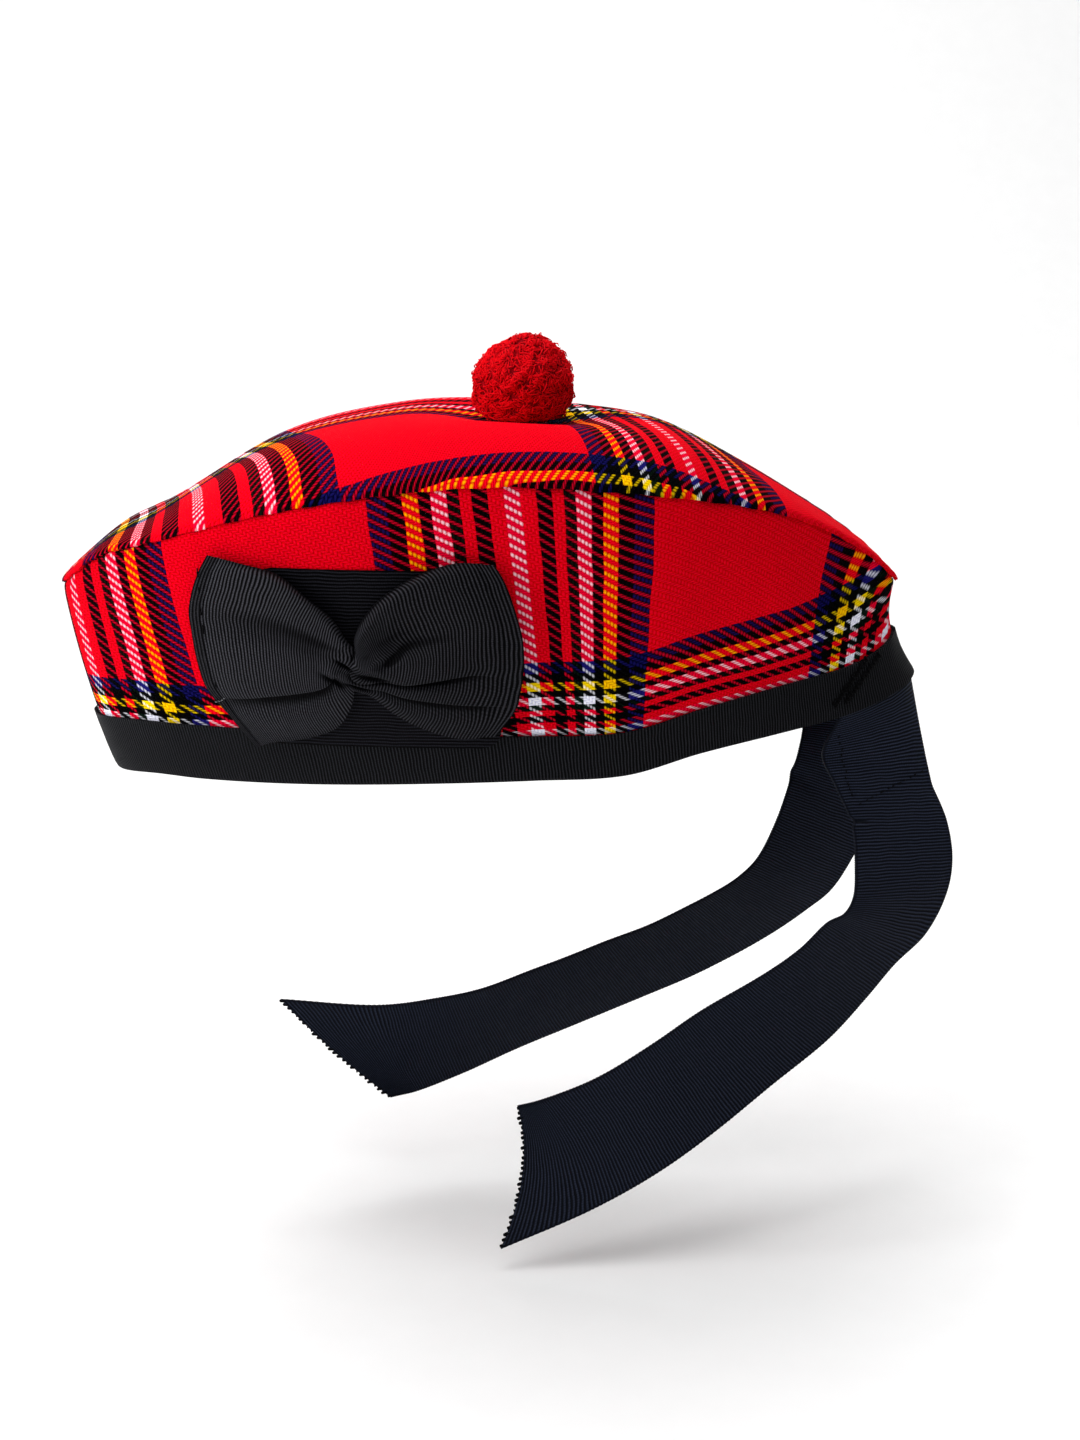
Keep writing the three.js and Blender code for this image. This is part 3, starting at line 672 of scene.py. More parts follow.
# %% [markdown]
# Each side panel runs from inside the band up to the crown seam, where its edge is turned in. One
# strip could be wrapped round the whole hat, but two panels that meet at the front and at the back
# are what the real hat is sewn from, and each has its own run of the pattern.

# %% Side panels
SIDE_COLUMNS = 380
SIDE_ROWS = 70
SEAM_ROLL = 1.1
ROLL_RUN = 1.6
# The angle that each panel's ends keep off the seams, in radians
PANEL_END = 0.002


def make_side(name, sign):
    """One panel: the wall from inside the band up to the crown seam, where it rolls inwards by
    SEAM_ROLL over a few millimetres. Its inner face is one cloth thickness in."""
    turned = np.linspace(PANEL_END, np.pi - PANEL_END, SIDE_COLUMNS + 1)[:, None]
    rise = np.linspace(0, 1, SIDE_ROWS + 1)[None, :] ** 0.9
    angle = sign * turned + 0 * rise
    along = share_along(angle)
    foot = RIBBON + GAP
    top = seam_height(along) - rim_height(along) - CLOTH / 2 - GAP
    height = lerp(foot, top, rise)
    roll = SEAM_ROLL * np.exp(-(top - height) / ROLL_RUN)
    push = dents(angle, height) - roll
    faces = []
    for depth in (0, CLOTH):
        face = wall(angle, height, push - depth)
        face[..., 1] = -sign * np.maximum(-sign * face[..., 1], GAP / 2)
        faces.append(face)
    return shell(name, *faces, side_cloth(angle, height))


side_left = finish_piece(make_side("side_left_tartan", 1), side_tartan, "tartan", "side_left")
side_right = finish_piece(make_side("side_right_tartan", -1), side_tartan, "tartan", "side_right")

# %% [markdown]
# The crown is an oval of the same cloth, set a quarter turn round and about eleven degrees
# askew, as its stripes show. It is puffed up with soft shoulders, pulled down in a dimple by the
# pompom's stitches, and rolled under at its edge where it is sewn to the sides. A simulation could
# blow it up like a cushion, but a height worked out from the distance to the middle line keeps its
# outline where the photograph has it.

# %% Crown
CROWN_COLUMNS = 400
CROWN_RINGS = 80
EDGE_RADIUS = 1.5
EDGE_RINGS = 7
CROWN_TURN = np.radians(11.3)
CROWN_SLANT = 0.13
CROWN_PIVOT = np.array([41.8, -91.9])
SHOULDER_EASE = 6
BLOCK_EDGE = -68
FAN_SHIFT = 6
FAN_OPEN = 0.2


def crown_height(x, y):
    """Seam height plus a puff that falls towards the seam with a power of the distance from the
    middle line, less a bell-shaped dimple at the pompom."""
    along = np.clip((x - SEAM_SHIFT) / SEAM_LENGTH + 0.5, 0, 1)
    half_width = np.maximum(-plan(np.arccos(1 - 2 * along), 1.0)[..., 1], 1e-6)
    fall = np.minimum(np.abs(y) / half_width, 1) ** CROWN_SHOULDER
    away = np.hypot(x - POMPOM_AFT, y) / (DIMPLE_WIDTH / 2)
    puff = CROWN_PUFF * read_table(STATIONS, "along", "puff", along) * (1 - fall)
    soft = 0.5 * np.sin(x / 23 + y / 31) * np.cos(y / 19) * (1 - fall)
    return seam_height(along) + puff + soft - DIMPLE_DEPTH * np.exp(-away ** 2), fall


def crown_cloth(x, y, fall):
    """The flat cloth under a crown point: its place in plan, turned for one set of stripes and
    slanted for the other, with the cloth eased out over the shoulders. The stripes in front
    open out in a fan towards the near seam."""
    across = x * np.cos(CROWN_TURN) + y * np.sin(CROWN_TURN)
    near = np.clip((10 - y) / 55, 0, 1)
    fanned = BLOCK_EDGE + (across - BLOCK_EDGE - FAN_SHIFT * near) * (1 - FAN_OPEN * near)
    across = lerp(fanned, across, smooth(-58, -28, across))
    up = y - CROWN_SLANT * x + np.sign(y) * SHOULDER_EASE * fall
    return np.stack([across, up], -1) - CROWN_PIVOT


def make_crown():
    """Rings from the pompom out to the seam, and a quarter round of EDGE_RADIUS at the rim."""
    angle = np.linspace(0, 2 * np.pi, CROWN_COLUMNS + 1)[:, None]
    seam = plan(angle, 1.0)
    normal = plan_normal(angle, 1.0)
    edge_turn = np.linspace(0, np.pi / 2, EDGE_RINGS + 1)
    inset = np.concatenate([np.full(CROWN_RINGS, EDGE_RADIUS), EDGE_RADIUS * (1 - np.sin(edge_turn))])
    ring = np.concatenate([np.linspace(0, 1, CROWN_RINGS + 1)[:-1], np.ones(EDGE_RINGS + 1)])
    drop = np.concatenate([np.zeros(CROWN_RINGS), EDGE_RADIUS * (1 - np.cos(edge_turn))])
    centre = np.array([POMPOM_AFT, 0])
    flat = centre + (seam - normal * inset[:, None] - centre) * ring[:, None]
    x, y = flat[..., 0], flat[..., 1]
    height, fall = crown_height(x, y)
    gather = 0.18 * np.sin(angle * 57 + 3 * np.sin(angle * 5)) * ring ** 30
    outer = np.stack([x, y, height - drop + gather], -1)
    wrap = smooth(0, EDGE_RADIUS, drop)[None, :, None] + 0 * outer
    under = np.concatenate([-normal * 0.9 + 0 * flat, np.full_like(x, -0.2)[..., None]], -1)
    inner = outer + lerp(np.array([0, 0, -CLOTH]), under, wrap)
    return shell("crown_tartan", outer, inner, crown_cloth(x, y, fall), wrap=True)


crown = make_crown()
close_poles(crown)
finish_piece(crown, crown_tartan, "tartan", "crown")

# %% [markdown]
# The band is one grosgrain ribbon folded round the raw edge of the head opening, with a leaf
# outside and a leaf inside. A bent strip with a bevel could stand for it, but from below the fold
# and the inside leaf show, so a folded section is carried round the rim. Its woven edges step in
# and out with the ribs.

# %% Band
BAND_COLUMNS = 1200
BAND_EDGE_STEP = 0.12
# The fold's section from the leaf's edge down: share of the leaf's height, and mm that it bulges
BAND_FOLD = [(1.0, 0.0), (0.97, 0.0), (0.8, 0.04), (0.6, 0.02), (0.4, 0.05), (0.22, 0.0),
             (0.1, -0.1), (0.03, -0.35)]


def make_band():
    """A U-shaped section carried round the rim: down the inside, under and up the outside. Every
    other column's edge stands BAND_EDGE_STEP lower, as the ribs leave it."""
    angle = np.linspace(0, 2 * np.pi, BAND_COLUMNS + 1)[:, None]
    along = share_along(angle)
    inside = -CLOTH - 2 * GAP
    rises, sways = np.array(BAND_FOLD).T
    path = np.concatenate([rises, rises[::-1]])
    outer_lift = np.concatenate([inside - RIBBON + 0 * rises - sways, (GAP + RIBBON + sways)[::-1]])
    inner_lift = np.concatenate([np.full(len(rises), inside), np.full(len(rises), GAP)])
    edge = BAND_EDGE_STEP * (np.arange(BAND_COLUMNS + 1) % 2)[:, None] * (path > 0.99)
    tall = band_height(along) + 0.25 * np.sin(angle * 9)
    wave = 0.12 * np.sin(angle * 23 + 1.3 * np.sin(angle * 4)) * smooth(0.3, 1, path)
    outer = wall(angle + 0 * path, tall * path - edge, outer_lift + wave)
    inner = wall(angle + 0 * path, lerp(RIBBON, tall, path) - edge, inner_lift + wave)
    run = np.interp(np.minimum(angle, 2 * np.pi - angle), quarter_turns, seam_run)
    run = np.where(angle > np.pi, 2 * seam_run[-1] - run, run) * RIM_LENGTH / SEAM_LENGTH
    leaf = np.concatenate([-rises, rises[::-1]]) * BAND_HEIGHT
    cloth = np.stack([run + 0 * path, leaf + 0 * angle], -1)
    return shell("band_ribbon", outer, inner, cloth, wrap=True)


band = finish_piece(make_band(), band_grosgrain, "grosgrain", "band")

# %% [markdown]
# The cockade is sewn on the wearer's left. Its backing is a flat patch of the same ribbon set
# upright, so its ribs lie level. Its two pieces could be shrunk on to the wall by a modifier, but
# then their edges would slide. So each point is given its place along the hat and up it, and the
# wall's angle there is found in a few steps.

# %% Lay a flat piece on the wall
KNOT_FORWARD = 48.5
KNOT_HEIGHT = 45
BACKING_LENGTH = 74
BACKING_HEIGHT = 56
BACKING_AFT = 7
BACKING_RISE = 2.5
BACKING_CORNER = 6
BACKING_COLUMNS = 60
BACKING_ROWS = 96
BACKING_FRAY = 0.15
COCKADE_LIFT = 3 * GAP + 1.8 * RIBBON
BAND_OUTSIDE = GAP + RIBBON + 0.1


def wall_at(x, z, lift):
    """The wall's point at a distance along the hat and a height, found by stepping the angle by
    the distance still missing over the oval's half length."""
    angle = np.full_like(x, np.pi / 2)
    for _ in range(12):
        point = wall(angle, z - rim_height(share_along(angle)), lift)
        turn = (x - point[..., 0]) / (SEAM_LENGTH / 2 * np.sin(angle))
        angle = np.clip(angle + turn, 0.2, 2.9)
    return point


knot = wall_at(np.array([-KNOT_FORWARD]), np.array([float(KNOT_HEIGHT)]), np.zeros(1))
print("the knot's place on the wall, mm:", knot.round(1)[0])

# %% Cockade backing
def make_backing():
    """A patch with rounded corners, on the wall at its top and over the band's edge below, whose
    cut sides step in and out by the ribs."""
    u = np.linspace(0, 1, BACKING_COLUMNS + 1)[:, None]
    v = np.linspace(0, 1, BACKING_ROWS + 1)[None, :]
    up = (v - 0.5) * BACKING_HEIGHT
    past = np.maximum(np.abs(up) - BACKING_HEIGHT / 2 + BACKING_CORNER, 0)
    corner = BACKING_CORNER - np.sqrt(np.maximum(BACKING_CORNER ** 2 - past ** 2, 0))
    fray = BACKING_FRAY * (np.arange(BACKING_ROWS + 1) % 2)[None, :]
    x = BACKING_AFT + (u - 0.5) * (BACKING_LENGTH - 2 * corner - 2 * fray)
    rest = lerp(RIBBON + 2.4 * GAP, GAP, v) + 0 * u
    swell = 0.35 * np.sin(np.pi * u) * np.sin(np.pi * v)
    places = (x - KNOT_FORWARD + 0 * v, KNOT_HEIGHT + BACKING_RISE + up + 0 * u)
    outer = wall_at(*places, rest + RIBBON * 0.8 + swell)
    inner = wall_at(*places, rest + swell)
    cloth = np.stack([up + 0 * u, x + 0 * v], -1)
    return shell("cockade_backing_ribbon", outer, inner, cloth)


backing = finish_piece(make_backing(), backing_grosgrain, "grosgrain", "cockade_backing")

# %% [markdown]
# The bow is a wide ribbon gathered in its middle and stitched down with a twist. It fans out from
# the knot to two free edges. Each wing is a handful of threads that run from the knot to its
# edge, whose places were read off the photo, with a smooth surface through them; a sharp fold is
# a thread that turns back under the one above it. A cloth simulation would gather a ribbon too,
# but into folds of its own, and it is by its folds that this bow is known.

# %% Threads of the bow
BOW_LENGTH = 100
BOW_HEIGHT = 61
BOW_THICKNESS = 0.8
TWIST = np.radians(80)
TWIST_REACH = 5
FOLD_REACH = 17
# Painted shade over the whole rear wing, and along the front wing's hem from HEM_SHADED_FROM out
REAR_SHADE = 0.4
HEM_SHADE = 0.55
HEM_PLACE = 0.925
HEM_WIDTH = 0.012
HEM_DEPTH = 0.5
HEM_SHADED_FROM = 0.93
WING_COLUMNS = 170
BOW_ROWS = 260
# Two small rolls at the knot and the creases beside them: place from the knot in mm, slope in
# degrees, half length, half width and height in mm
KNOT_ROLLS = [
    (5.0, 2.0, -17, 5.0, 1.8, 2.2), (6.2, -1.8, -8, 5.0, 0.8, -2.0), (11.8, 4.2, 38, 4.6, 1.4, -1.8),
    (-4.4, -0.9, -38, 3.6, 1.7, 1.8), (-6.0, -3.2, -38, 3.8, 0.7, -1.7), (-2.6, 2.0, -36, 3.0, 0.6, -1.7),
    (0.3, 4.6, 80, 2.4, 0.7, -1.4), (1.5, -5.4, -15, 4.0, 0.7, -1.6)]
KNOT_PIXEL = np.array([348, 661])
# How the camera sees a millimetre near the knot, and the same with a little to spare, so that a
# step towards a place falls short of it rather than past it
PIXELS_PER_MM = 3.4
STEP_PIXELS = 3.6
# Where the ribbon crosses the knot: share up the ribbon, then pixels to the right of the knot and
# above it as the camera sees them, and mm off the cloth below
KNOT_LINE = [(0.00, 11, -29, 0.6), (0.15, 7, -22, 1.6), (0.35, 1, -13, 3.0), (0.50, -2, -5, 3.6),
             (0.65, -1, 3, 3.6), (0.85, 1, 9, 3.0), (1.00, 2, 12, 1.2)]
# Threads that run from the knot to a wing's edge. A fold is three of them: the upper layer's
# edge, the hidden turn above and below it, and the layer that comes out from under it
FRONT_WING = [
    (0.00, [(-7, -63, 0.8), (-30, -74, 0.6), (-54, -79, 0.5), (-76, -81, 0.4), (-92, -86, 0.3)]),
    (0.13, [(-20, -43, 1.4), (-43, -52, 1.6), (-66, -55, 1.5), (-96, -55, 1.0), (-120, -52, 0.4)]),
    (0.21, [(-24, -25, 0.8), (-46, -29, 0.8), (-72, -32, 0.7), (-104, -35, 0.7), (-131, -40, 0.4)]),
    (0.27, [(-26, -28, 3.6), (-48, -32, 3.8), (-76, -35, 3.5), (-106, -37, 2.5), (-136, -34, 0.8)]),
    (0.34, [(-27, -20, 4.6), (-51, -24, 4.6), (-80, -25, 4.2), (-112, -25, 3.2), (-143, -23, 0.9)]),
    (0.48, [(-27, -3, 4.4), (-54, 1, 5.0), (-84, 3, 4.8), (-118, 4, 3.6), (-152, 6, 1.0)]),
    (0.60, [(-27, 9, 2.4), (-55, 19, 2.8), (-86, 28, 3.0), (-122, 33, 2.6), (-157, 34, 0.9)]),
    (0.66, [(-26, 16, 1.8), (-54, 28, 2.4), (-86, 39, 2.8), (-124, 45, 2.5), (-159, 46, 0.8)]),
    (0.76, [(-23, 27, 3.6), (-49, 44, 4.6), (-80, 57, 4.4), (-120, 64, 3.2), (-157, 66, 0.9)]),
    (0.90, [(-19, 38, 4.2), (-42, 58, 4.8), (-72, 77, 4.2), (-114, 88, 2.6), (-149, 91, 0.7)]),
    (1.00, [(-15, 41, 1.4), (-40, 62, 1.4), (-70, 86, 1.0), (-110, 98, 0.6), (-141, 106, 0.3)])]
REAR_WING = [
    (0.00, [(22, -33, 0.6), (47, -53, 0.6), (77, -68, 0.6), (110, -77, 0.5), (148, -75, 0.3)]),
    (0.10, [(26, -30, 1.2), (54, -46, 1.6), (84, -55, 1.6), (118, -60, 1.2), (160, -60, 0.4)]),
    (0.16, [(26, -23, 0.6), (54, -33, 0.7), (84, -38, 0.7), (118, -42, 0.7), (168, -48, 0.4)]),
    (0.20, [(26, -26, 2.6), (54, -36, 3.0), (84, -41, 2.9), (118, -44, 2.4), (170, -44, 0.6)]),
    (0.27, [(27, -21, 2.8), (57, -29, 3.6), (88, -31, 3.6), (124, -31, 2.8), (172, -34, 0.8)]),
    (0.33, [(27, -15, 1.0), (57, -21, 1.0), (90, -17, 1.2), (126, -14, 2.0), (174, -23, 0.9)]),
    (0.37, [(27, -18, 3.8), (57, -24, 4.6), (90, -20, 4.4), (126, -14, 2.8), (175, -15, 1.0)]),
    (0.43, [(28, -9, 4.8), (60, -13, 5.6), (92, -10, 5.2), (128, -7, 3.2), (176, -6, 1.0)]),
    (0.53, [(28, 0, 5.0), (60, 2, 5.0), (92, 5, 4.6), (128, 8, 3.4), (176, 10, 1.0)]),
    (0.62, [(24, 4, 4.0), (52, 14, 1.6), (90, 22, 2.4), (128, 25, 2.8), (174, 26, 1.0)]),
    (0.70, [(21, 10, 3.4), (44, 22, 1.4), (86, 34, 2.6), (126, 40, 3.0), (170, 41, 1.0)]),
    (0.82, [(17, 20, 4.2), (38, 40, 4.6), (76, 58, 4.2), (118, 64, 3.2), (162, 66, 0.9)]),
    (0.92, [(13, 27, 4.8), (34, 54, 4.6), (70, 78, 3.8), (110, 86, 2.4), (154, 84, 0.7)]),
    (1.00, [(11, 36, 1.6), (30, 60, 1.4), (62, 82, 1.0), (104, 97, 0.6), (146, 96, 0.3)])]
print("the bow's threads:", len(FRONT_WING), "in front and", len(REAR_WING), "behind")


# %% A smooth surface through threads
def spline(points, t):
    """A curve through points, 0 at the first and 1 at the last, whose pull between two of them
    is the square root of their distance. Returns places and directions."""
    ends = [2 * points[0] - points[1]], [2 * points[-1] - points[-2]]
    padded = np.concatenate([ends[0], points, ends[1]])
    place = np.clip(t, 0, 1) * (len(points) - 1)
    low = np.minimum(place.astype(int), len(points) - 2)
    w = (place - low)[..., None]
    p0, p1, p2, p3 = (padded[low + k] for k in range(4))
    d0, d1, d2 = (np.sqrt(np.linalg.norm(b - a, axis=-1, keepdims=True))
                  for a, b in ((p0, p1), (p1, p2), (p2, p3)))
    leave = ((p1 - p0) / d0 - (p2 - p0) / (d0 + d1) + (p2 - p1) / d1) * d1
    arrive = ((p2 - p1) / d1 - (p3 - p1) / (d1 + d2) + (p3 - p2) / d2) * d1
    c2 = -3 * p1 + 3 * p2 - 2 * leave - arrive
    c3 = 2 * p1 - 2 * p2 + leave + arrive
    run = leave + 2 * c2 * w + 3 * c3 * w * w
    run = run / np.linalg.norm(run, axis=-1, keepdims=True)
    return p1 + leave * w + c2 * w ** 2 + c3 * w ** 3, run


def laid_where_seen(seen):
    """Places along the hat and up it whose wall points the camera sees at the given pixels from
    the knot, found by stepping each place by what it still misses."""
    right, up, lift = seen[..., 0], seen[..., 1], seen[..., 2] + COCKADE_LIFT
    x = right / PIXELS_PER_MM - KNOT_FORWARD
    z = up / PIXELS_PER_MM + KNOT_HEIGHT
    for _ in range(15):
        pixel = seen_pixel(wall_at(x, z, lift))
        x = x + (KNOT_PIXEL[0] + right - pixel[..., 0]) / STEP_PIXELS
        z = z + (pixel[..., 1] - KNOT_PIXEL[1] + up) / STEP_PIXELS
    return np.stack([x, z, lift], -1)


def wing(lines, out, v):
    """One wing's places: a curve through each thread's points from the knot, then curves across
    them through the threads."""
    ups = np.array([up for up, _ in lines])
    knots = np.array(KNOT_LINE)
    across = np.stack([np.interp(ups, knots[:, 0], knots[:, k]) for k in (1, 2, 3)], -1)
    seen = np.concatenate([across[:, None], np.array([points for _, points in lines])], axis=1)
    laid = laid_where_seen(seen)
    threads, _ = spline(np.swapaxes(laid, 0, 1).reshape(laid.shape[1], -1), out)
    threads = np.swapaxes(threads.reshape(len(out), len(ups), 3), 0, 1).reshape(len(ups), -1)
    surface, _ = spline(threads, np.interp(v, ups, np.linspace(0, 1, len(ups))))
    return np.swapaxes(surface.reshape(len(v), len(out), 3), 0, 1)


# %% Cockade bow
def make_bow():
    """u runs from the front edge to the rear one and v from the bottom to the top. The two wings
    share the knot's line, and everything near the knot is turned round it by TWIST."""
    out = np.linspace(0, 1, WING_COLUMNS + 1)
    v = np.linspace(0, 1, BOW_ROWS + 1)
    front = wing(FRONT_WING, out, v)
    rear = wing(REAR_WING, out, v)
    place = np.concatenate([front[:0:-1], rear])
    side = np.linspace(-1, 1, 2 * WING_COLUMNS + 1)[:, None]
    far = np.abs(side)
    x = place[..., 0] + KNOT_FORWARD
    z = place[..., 1] - KNOT_HEIGHT
    round_knot = TWIST * np.exp(-(x ** 2 + z ** 2) / TWIST_REACH ** 2)
    turned = x * np.cos(round_knot) + z * np.sin(round_knot)
    z = z * np.cos(round_knot) - x * np.sin(round_knot)
    hem = HEM_DEPTH * np.exp(-((far - HEM_PLACE) / HEM_WIDTH) ** 2)
    rolls = np.zeros_like(x)
    for right, up, slope, long, wide, height in KNOT_ROLLS:
        cos, sin = np.cos(np.radians(slope)), np.sin(np.radians(slope))
        along = (turned - right) * cos + (z - up) * sin
        beside = (z - up) * cos - (turned - right) * sin
        rolls = rolls + height * np.exp(-(along / long) ** 2 - (beside / wide) ** 2)
    lift = np.maximum(place[..., 2] - hem + rolls, COCKADE_LIFT)
    outer = wall_at(turned - KNOT_FORWARD, KNOT_HEIGHT + z, lift + BOW_THICKNESS)
    inner = wall_at(turned - KNOT_FORWARD, KNOT_HEIGHT + z, lift)
    # A place gets painted shade by how far it lies below the mean of the ribbon on both sides of it
    total = np.cumsum(np.pad(lift, ((0, 0), (FOLD_REACH + 1, FOLD_REACH)), mode="edge"), axis=1)
    around = (total[:, 2 * FOLD_REACH + 1:] - total[:, :-2 * FOLD_REACH - 1]) / (2 * FOLD_REACH + 1)
    hollow = smooth(-0.1, 0.6, around - lift) * (1 - smooth(0.85, 1.0, far))
    # Painted shade in the creases beside the knot's rolls; dull is painted shade, not a finish, over the
    # rear wing and along the front wing's hem
    creases = smooth(0.1, 1.1, -rolls)
    behind = side > 0
    dull = REAR_SHADE * behind + HEM_SHADE * (far > HEM_SHADED_FROM) * (1 - behind)
    hollow = np.maximum(np.maximum(hollow, creases), dull)
    cloth = np.stack([side / 2 * BOW_LENGTH + 0 * z, (v - 0.5) * BOW_HEIGHT + 0 * z, hollow], -1)
    return shell("cockade_bow_ribbon", outer, inner, cloth)


bow = finish_piece(make_bow(), bow_grosgrain, "grosgrain", "cockade_bow")

# %% [markdown]
# The two tails are one ribbon each, sewn under the band at the back. Each hangs, turns and sweeps
# forward. A flat strip could be bent along a curve, but a ribbon that turns over as it falls has
# two edges of different lengths. So a tail is lofted between its edges, which are smooth curves
# through the ends of a few sections, and its ribs run across it.

# %% Sections of the tails
TAIL_HANG = 0.22
# How far a tail's top is tucked up into the band's fold, in mm
TAIL_TUCK = 0.5
TAIL_SEAT_FRONT = np.radians(142)
TAIL_SEAT_BACK = np.radians(174)
TAIL_CUT = 0.2
# Painted shade over a tail below its top, so that the top looks lighter
TAIL_SHADE = 0.38
TAIL_STEPS = 480
TAIL_ROWS = 36
TAIL_EDGE_STEP = 0.14
TAIL_HALF = RIBBON * 0.4
# Sections from the band down: forward reach, drop and spread to the side as shares of the tail's,
# turn and lean of the line across it in degrees, and its length as a share of the width
TAIL_SECTION = "reach drop spread turn lean width"
LEFT_TAIL = columns(TAIL_SECTION, [
    (0.01, 0.10, 0.13, 3, 24, 1), (-0.02, 0.18, 0.24, -5, 26, 1), (-0.06, 0.26, 0.35, -7, 26, 1),
    (-0.07, 0.34, 0.44, -5, 25, 1), (-0.06, 0.41, 0.50, -8, 28, 1), (-0.02, 0.47, 0.55, -25, 30, 1),
    (0.045, 0.51, 0.59, -40, 29, 1), (0.12, 0.57, 0.64, -44, 26, 1), (0.225, 0.64, 0.71, -44, 19, 1),
    (0.375, 0.725, 0.78, -49, 11, 1), (0.515, 0.81, 0.84, -56, 4, 1), (0.68, 0.895, 0.90, -59, 0, 1.02),
    (0.84, 0.955, 0.95, -67, 0, 1.1), (0.99, 1.00, 1.00, -96, 0, 1.32)])
RIGHT_TAIL = columns(TAIL_SECTION, [
    (-0.01, 0.10, 0.00, 6, -20, 1), (0.00, 0.22, -0.10, -14, 8, 1), (0.03, 0.33, -0.10, -23, 20, 1),
    (0.065, 0.45, -0.08, -29, 24, 1), (0.105, 0.55, -0.04, -31, 28, 1), (0.145, 0.60, 0.00, -35, 31, 1),
    (0.20, 0.65, 0.08, -45, 33, 1), (0.325, 0.74, 0.23, -54, 33, 1), (0.44, 0.797, 0.38, -58, 32, 1),
    (0.565, 0.86, 0.54, -63, 32, 1), (0.68, 0.92, 0.69, -68, 31, 1), (0.775, 0.963, 0.77, -74, 23, 1),
    (0.88, 0.996, 0.86, -71, 11, 1), (1.00, 0.99, 1.00, -44, 0, 1.39)])
print("sections of each tail:", len(LEFT_TAIL["reach"]), len(RIGHT_TAIL["reach"]))


# %% A tail between its two edges
def tail_seat(sign, share):
    """The line that a tail hangs from, just inside the bottom of the band's fold."""
    angle = sign * lerp(TAIL_SEAT_FRONT, TAIL_SEAT_BACK, share)
    seat = wall(angle, 0 * angle, 0 * angle - CLOTH / 2)
    seat[..., 2] += TAIL_TUCK
    return seat


def tail_surface(sign, table, reach, drop, spread, hollow, u, v):
    """The middle of the ribbon: straight across between its two edge curves, following the rim
    at its top, with its cut end drawn in by hollow between its corners."""
    ends = tail_seat(sign, np.array([0.0, 1.0]))
    top = ends.mean(0) - np.array([0, 0, TAIL_TUCK + 1.5 * GAP])
    turn = np.radians(table["turn"])
    lean = np.radians(table["lean"])
    line = np.stack([np.cos(turn) * np.cos(lean), np.sin(lean), np.sin(turn) * np.cos(lean)], -1)
    steps = np.stack([table["reach"] * reach, table["spread"] * spread, table["drop"] * drop], -1)
    half = line * (table["width"] * TAIL_WIDTH / 2)[:, None]
    left, left_run = spline(np.concatenate([ends[:1], top - steps - half]), u)
    right, right_run = spline(np.concatenate([ends[1:], top - steps + half]), u)
    share = v[..., None]
    cut = -hollow * 4 * share * (1 - share) * smooth(1 - TAIL_CUT, 1, u)[..., None]
    point = lerp(left, right, share) + lerp(left_run, right_run, share) * cut
    hang = 1 - smooth(0, TAIL_HANG, u)[..., None]
    return point + (tail_seat(sign, v) - lerp(ends[0], ends[1], share)) * hang


def make_tail(name, sign, table, reach, drop, spread, hollow, ripples):
    """The tail's surface with half its thickness on each side, pushed out by a few bell-shaped
    ripples and creases. Returns the piece, its middle surface and normals, and its length."""
    u = np.linspace(0, 1, TAIL_STEPS + 1)[:, None] + np.zeros(TAIL_ROWS + 1)
    v = np.linspace(0, 1, TAIL_ROWS + 1)[None, :] + 0 * u
    middle = tail_surface(sign, table, reach, drop, spread, hollow, u, v)
    down = np.gradient(middle, axis=0)
    across = np.gradient(middle, axis=1)
    normal = np.cross(across, down)
    normal /= np.linalg.norm(normal, axis=-1, keepdims=True)
    steps = np.linalg.norm(np.diff(middle[:, TAIL_ROWS // 2], axis=0), axis=-1)
    run = np.concatenate([[0], np.cumsum(steps)])
    wave = np.zeros_like(u)
    for at, across_at, length, width, height, slant in ripples:
        place = run[:, None] - at - slant * (v - 0.5) * TAIL_WIDTH
        wave = wave + height * np.exp(-(place / length) ** 2 - ((v - across_at) / width) ** 2)
    selvedge = TAIL_EDGE_STEP * (np.arange(TAIL_STEPS + 1) % 2)[:, None] * (np.abs(v - 0.5) > 0.49)
    side = across / np.linalg.norm(across, axis=-1, keepdims=True)
    middle = middle + normal * wave[..., None] - side * (np.sign(v - 0.5) * selvedge)[..., None]
    # Painted shade in the ripples' creases and over the tail below its top, which is left lighter;
    # dull holds this shade
    dull = np.maximum(smooth(0.7, 1.4, -wave), TAIL_SHADE * smooth(0.1, 0.5, u))
    cloth = np.stack([run[:, None] + 0 * v, (v - 0.5) * TAIL_WIDTH, dull], -1)
    piece = shell(name, middle + normal * TAIL_HALF, middle - normal * TAIL_HALF, cloth)
    print(name, "length", round(run[-1], 1), "mm")
    return piece, middle, normal, run[-1]


# %% Tails
# Along the tail, across it, half length, half width as a share, height in mm and slant
LEFT_RIPPLES = [(24, 0.5, 3, 0.5, 0.9, 0.35), (41, 0.0, 1.1, 0.22, -1.7, 0.0), (75, 0.5, 12, 0.6, 0.8, 0.3),
                (110, 0.4, 14, 0.7, -0.9, 0.4), (150, 0.6, 16, 0.7, 0.9, 0.2)]
RIGHT_RIPPLES = [(50, 0.0, 3, 0.35, 1.2, 0.3), (70, 0.4, 12, 0.5, -0.8, 0.3), (120, 0.5, 14, 0.6, 0.9, 0.2),
                 (165, 0.4, 16, 0.6, -0.8, 0.3)]
tail_left, left_middle, left_normal, left_length = make_tail(
    "tail_left_ribbon", 1, LEFT_TAIL, reach=117, drop=146, spread=38, hollow=4.5, ripples=LEFT_RIPPLES)
